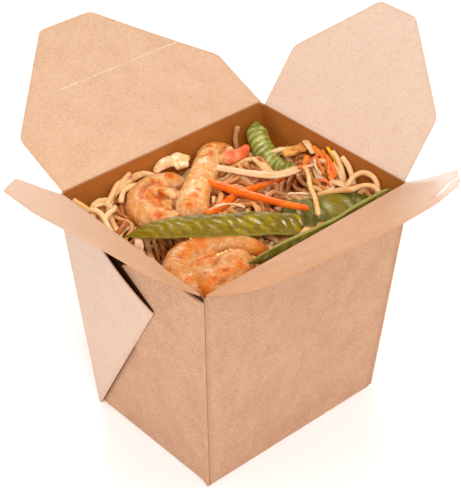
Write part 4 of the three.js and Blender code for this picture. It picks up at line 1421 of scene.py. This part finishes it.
class Heap:
    """A height map of the box's inside, on which strands are laid one over the other."""

    def __init__(self, shapes):
        self.half = half_sizes(HEAP_LEVEL) - BOARD - 0.4
        counts = (2 * self.half / CELL).astype(int)
        axes = [(np.arange(count) + 0.5) * CELL - half for count, half in zip(counts, self.half)]
        x, y = np.meshgrid(*axes, indexing="ij")
        self.surface = heap_height(x, y)
        self.height = self.surface - BED_DEPTH
        self.ceiling = np.full(x.shape, np.inf)
        for shape in shapes:
            over = shape.places[:, 2] > heap_height(shape.places[:, 0], shape.places[:, 1]) - 1.5
            places = shape.places[over]
            cells = self.cells(places[:, :2])
            np.minimum.at(self.ceiling, (cells[:, 0], cells[:, 1]), places[:, 2])

    def cells(self, places):
        cells = ((places + self.half) / CELL).astype(int)
        return np.clip(cells, 0, np.array(self.height.shape) - 1)

    def read(self, grid, places):
        cells = self.cells(places)
        return grid[cells[..., 0], cells[..., 1]]

    def disc(self, radius):
        """Offsets within a strand's radius, and the height of its round top over its middle there."""
        reach = int(radius / CELL) + 1
        steps = np.arange(-reach, reach + 1) * CELL
        offsets = np.stack(np.meshgrid(steps, steps, indexing="ij"), -1).reshape(-1, 2)
        distance = np.linalg.norm(offsets, axis=1)
        inside = distance < radius
        return offsets[inside], np.sqrt(radius**2 - distance[inside] ** 2)

    def room(self, places):
        """How far the heap is still below its surface, or below what lies over it."""
        goal = np.minimum(self.read(self.surface, places), self.read(self.ceiling, places) - 2.0)
        room = goal - self.read(self.height, places)
        outside = (np.abs(places) > self.half - NOODLE_RADIUS).any(-1)
        return np.where(outside, -30.0, room)

    def lay(self, path, radius):
        """The path's heights when it is laid on the heap, which then holds it too."""
        offsets, dome = self.disc(radius)
        around = path[:, None] + offsets[None]
        need = (self.read(self.height, around) + dome).max(1)
        limit = (self.read(self.ceiling, around) - dome).min(1) - 0.1
        level = need
        for _ in range(6):
            padded = np.pad(level, 2, mode="edge")
            level = np.maximum(need, np.convolve(padded, [0.1, 0.2, 0.4, 0.2, 0.1], "valid"))
        # The strand dives in good time under what lies over it, and into the heap at both ends.
        steps = np.arange(len(path))
        limit = (limit[None] + DIVE * STEP * np.abs(steps[:, None] - steps[None])).min(1)
        from_end = np.minimum(steps, len(path) - 1 - steps) * STEP
        level = level - END_SINK * np.clip(1 - from_end / 5, 0, 1) ** 2
        level = np.minimum(np.minimum(level, limit), FOOD_TOP - radius)
        cells = self.cells(around)
        tops = np.where(np.isfinite(level)[:, None], level[:, None] + dome, -np.inf)
        np.maximum.at(self.height, (cells[..., 0], cells[..., 1]), tops)
        return level


def wandering_path(heap, rng, length):
    """A smooth path that starts where the heap lacks most and turns towards lower ground."""
    tries = rng.uniform(-1, 1, (60, 2)) * (heap.half - 2)
    place = tries[(heap.room(tries) + rng.normal(0, 0.6, 60)).argmax()]
    heading = rng.uniform(0, 2 * np.pi)
    bend = rng.normal(0, 0.05)
    path = [place]
    for _ in range(int(length / STEP)):
        choices = np.clip(bend + rng.normal(0, 0.035) + TURNS, -SHARPEST_BEND, SHARPEST_BEND)
        turned = heading + choices * STEP
        best, score = 0, -np.inf
        for k in range(len(choices)):
            ahead = []
            for reach in (3, 6):
                angle = turned[k] + choices[k] * reach / 2
                ahead.append(place + reach * np.array([math.cos(angle), math.sin(angle)]))
            value = heap.room(np.array(ahead)).clip(-30, 5).sum() - 25 * abs(choices[k] - bend)
            if value > score:
                best, score = k, value
        bend = choices[best]
        heading = turned[best]
        place = place + STEP * np.array([math.cos(heading), math.sin(heading)])
        if (np.abs(place) > heap.half - 0.9).any():
            break
        path.append(place)
    return np.array(path)


def tube(path, radius, sides, rng):
    """A round strand along a dense path, uneven in thickness, with rounded ends."""
    along = normalised(np.gradient(path, axis=0))
    side = np.cross(along, UP)
    side = normalised(np.where(np.linalg.norm(side, axis=1, keepdims=True) < 0.1, [1, 0, 0], side))
    other = np.cross(side, along)
    count = len(path)
    share = np.linspace(0, 1, count)
    size = radius * (1 + 0.06 * np.sin(rng.uniform(5, 12) * share * 3 + rng.uniform(0, 6)))
    size[[0, -1]] *= 0.62
    angle = np.linspace(0, 2 * np.pi, sides, endpoint=False)
    circle = np.cos(angle)[None, :, None] * side[:, None] + np.sin(angle)[None, :, None] * other[:, None]
    rings = path[:, None] + circle * size[:, None, None]
    first = path[0] - along[0] * radius * 0.45
    last = path[-1] + along[-1] * radius * 0.45
    return lofted(rings, first, last)


def laid_noodles(heap):
    """Loose strands, some of them in small bundles that run side by side."""
    rng = np.random.default_rng(HEAP_SEED)
    made = []
    while len(made) < LAID_STRANDS:
        path = wandering_path(heap, rng, rng.uniform(45, 130))
        if len(path) < SHORTEST_STRAND:
            continue
        bundle = rng.choice([1, 1, 2, 2, 3])
        along = normalised(np.gradient(path, axis=0))
        aside = np.stack([-along[:, 1], along[:, 0]], 1)
        tint = rng.uniform(0, 1)
        drift = rng.uniform(-0.8, 0.8)
        for k in range(bundle):
            share = np.linspace(-1, 1, len(path))[:, None]
            beside = path + aside * (k * STRAND_PITCH + drift * share * k)
            kept = (np.abs(beside) < heap.half - 0.8).all(1)
            if kept.sum() < 12:
                continue
            beside = beside[kept]
            if np.linalg.norm(np.diff(beside, axis=0), axis=1).max() > 2.2 * STEP:
                continue
            radius = NOODLE_RADIUS * rng.uniform(0.66, 1.02)
            level = heap.lay(beside, radius)
            shape = tube(np.column_stack([beside, level]), radius, 9, rng)
            made.append(shape.with_fields(tint=np.clip(tint + rng.normal(0, 0.15), 0, 1)))
    return made


def bed():
    """The core under the strands: the filled inside of the box, with a rough top."""
    counts = (48, 40)
    share = [np.linspace(-1, 1, count) for count in counts]
    u, v = np.meshgrid(*share, indexing="ij")
    half = half_sizes(HEAP_LEVEL - BED_DEPTH) - BOARD - LOOSE_FIT
    top = heap_height(u * half[0], v * half[1]) - BED_DEPTH
    level = np.stack([u * half[0], v * half[1], 0 * u], -1).reshape(-1, 3)
    top = top + 0.8 * wobble(level, 6, 3).reshape(u.shape)
    places, faces = [], []
    index = lambda i, j: i * counts[1] + j
    for z in (top, np.full(u.shape, BOARD + LOOSE_FIT)):
        half = half_sizes(z) - BOARD - LOOSE_FIT
        places.append(np.stack([u * half[..., 0], v * half[..., 1], z], -1).reshape(-1, 3))
    total = counts[0] * counts[1]
    for i in range(counts[0] - 1):
        for j in range(counts[1] - 1):
            quad = (index(i, j), index(i + 1, j), index(i + 1, j + 1), index(i, j + 1))
            faces.append(quad)
            faces.append(tuple(corner + total for corner in reversed(quad)))
    border = [index(i, 0) for i in range(counts[0])]
    border += [index(counts[0] - 1, j) for j in range(1, counts[1])]
    border += [index(i, counts[1] - 1) for i in range(counts[0] - 2, -1, -1)]
    border += [index(0, j) for j in range(counts[1] - 2, 0, -1)]
    for a, b in zip(border, border[1:] + border[:1]):
        faces.append((b, a, a + total, b + total))
    return Shape(np.vstack(places), faces)


def scattered(shapes, count, size, seed, spots=()):
    """Loose bits on top of the food: uneven lumps, some of them round about the spots (x, y, radius)."""
    rng = np.random.default_rng(seed)
    whole = joined(shapes)
    tree = BVHTree.FromPolygons(whole.places.tolist(), whole.faces)
    made = []
    while len(made) < count:
        if spots and rng.uniform() < 0.6:
            x, y, reach = spots[rng.integers(len(spots))]
            place = np.array([x, y]) + rng.normal(0, reach, 2)
        else:
            place = rng.uniform(-1, 1, 2) * (half_sizes(HEAP_LEVEL) - 4)
        if (np.abs(place) > half_sizes(HEAP_LEVEL) - 3).any():
            continue
        hit, normal, _, _ = tree.ray_cast(Vector((*place, 140)), Vector((0, 0, -1)))
        if hit is None or normal.z < 0.5:
            continue
        long = size * rng.uniform(0.6, 1.5)
        way = rng.uniform(0, 2 * np.pi)
        along = np.array([math.cos(way), math.sin(way), 0]) * long
        middle = np.array(hit) + [0, 0, 0.1 * size]
        line = [middle - along, middle + along * 0.1, middle + along]
        lump = flesh(line, np.array([0.5, 0.8, 0.4]) * size, 0.5 * size)
        lump = swollen(lump, 0.2 * size * wobble(lump.places, 1.4 * size, len(made)))
        lump.places[:, 2] = np.minimum(lump.places[:, 2], FOOD_TOP)
        made.append(lump)
    return joined(made)


def bent(points, seed):
    """The points, each moved a little."""
    return np.array(points) + np.random.default_rng(seed).normal(0, 0.45, (len(points), 3)) * [1, 1, 0.5]


def add_noodles():
    tints = np.random.default_rng(5).uniform(0, 0.5, len(SHOWN_STRANDS))
    shown = [strand(points, NOODLE_RADIUS, k, tints[k]) for k, points in enumerate(SHOWN_STRANDS)]
    sliver = lambda points, k: cut_stick(bent(points, 50 + k), 0.55 + 0.15 * (k % 3), 0.45, 40 + k)
    slivers = {kind: [sliver(points, k) for k, points in enumerate(lines)] for kind, lines in SLIVERS.items()}
    yellow = strand(YELLOW_LINE, 0.8, 3)
    limp = [cut_stick(points, 2.1 - 0.3 * k, 0.7, 60 + k, 0.8) for k, points in enumerate(LIMP_BITS)]
    fine = [shape for shapes in slivers.values() for shape in shapes] + [yellow] + limp
    heap = Heap(fixed_shapes + shown + fine)
    laid = laid_noodles(heap)
    for shape in laid + shown:
        depth_in_heap(shape, heap)
    for name, shape, material in (
        ("noodle_bed", bed(), SAUCE_AND_SHADE_BED),
        ("noodles_shown", joined(shown), NOODLE_PALE),
        ("noodles_pale", joined(laid[::2]), NOODLE_PALE),
        ("noodles_browned", joined(laid[1::2]), NOODLE_BROWN),
    ):
        add_piece(name, shape, material, ["noodles"])
    add_piece("carrot_slivers", joined(slivers["carrot"]), RED_SHRED)
    add_piece("onion_slivers", joined(slivers["onion"]), ONION)
    add_piece("yellow_strand", yellow, YELLOW)
    add_piece("onion_limp_bits", joined(limp), LIMP)
    everything = fixed_shapes + shown + fine + laid
    garlic = scattered(everything, 24, 0.6, 3, GARLIC_SPOTS)
    add_piece("garlic_bits", garlic, GARLIC)
    add_piece("pepper_specks", scattered(everything, 18, 0.24, 4), PEPPER)


add_noodles()


# ---- Floor, light and camera ----

FLOOR_HALF = 3
FLOOR_LEVEL = -0.05  # mm, just under the box
AIM = (0, 0, 0.07)  # what every light points at
LIGHT_SIZE = 0.9
LIGHTS = {  # place and watts
    "key": ((-0.6, -1.0, 1.2), 13),
    "top": ((0, 0, 1.7), 9),
    "back": ((0.8, 1.2, 0.6), 10),
    "left": ((-1.4, 0.6, 0.5), 4),
    "right": ((1.2, -0.7, 0.8), 3),
}
WORLD_STRENGTH = 0.52


def add_floor():
    half = FLOOR_HALF / MM
    corners = [(x * half, y * half, FLOOR_LEVEL) for x, y in ((-1, -1), (1, -1), (1, 1), (-1, 1))]
    floor = make_object("floor", Shape(corners, [(0, 1, 2, 3)]))
    look = Look("floor", 0.9, Specular_IOR_Level=0.1, Emission_Color=(1, 1, 1, 1), Emission_Strength=0.15)
    colour = look.mix(look.noise(60, 2), srgb(250, 250, 250), srgb(253, 253, 253))
    floor.data.materials.append(look.finish(colour))
    floor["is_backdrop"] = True


def add_light(name, place, watts):
    light = bpy.data.lights.new(name, "AREA")
    light.shape = "DISK"
    light.size = LIGHT_SIZE
    light.energy = watts
    lamp = bpy.data.objects.new(name, light)
    lamp.location = place
    lamp.rotation_euler = (Vector(AIM) - lamp.location).to_track_quat("-Z", "Y").to_euler()
    bpy.context.scene.collection.objects.link(lamp)


def add_world():
    world = bpy.data.worlds.new("studio")
    world.use_nodes = True
    background = world.node_tree.nodes["Background"]
    background.inputs["Color"].default_value = (1, 1, 1, 1)
    background.inputs["Strength"].default_value = WORLD_STRENGTH
    bpy.context.scene.world = world


def add_camera():
    azimuth, elevation, roll = (math.radians(CAMERA[key]) for key in ("azimuth", "elevation", "roll"))
    flat = math.cos(elevation)
    back = Vector((math.sin(azimuth) * flat, -math.cos(azimuth) * flat, math.sin(elevation)))
    level = Vector((math.cos(azimuth), math.sin(azimuth), 0))
    right = Matrix.Rotation(-roll, 3, back) @ level
    axes = Matrix((right, back.cross(right), back)).transposed()
    camera = bpy.data.cameras.new("camera")
    camera.sensor_width = SENSOR
    camera.lens = FOCAL_PIXELS / PICTURE_HEIGHT * SENSOR
    camera.clip_start = 0.01
    camera.clip_end = 20
    mount = bpy.data.objects.new("camera", camera)
    mount.matrix_world = Matrix.Translation(Vector(CAMERA["place"]) * MM) @ axes.to_4x4()
    bpy.context.scene.collection.objects.link(mount)
    bpy.context.scene.camera = mount


add_floor()
add_world()
for name, (place, watts) in LIGHTS.items():
    add_light(name, place, watts)
add_camera()
bpy.context.scene.view_settings.view_transform = "Standard"

boxes = {"cad": CAD_BOX, "visual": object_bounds()}
{name: [list(corner) for corner in box] for name, box in boxes.items()}
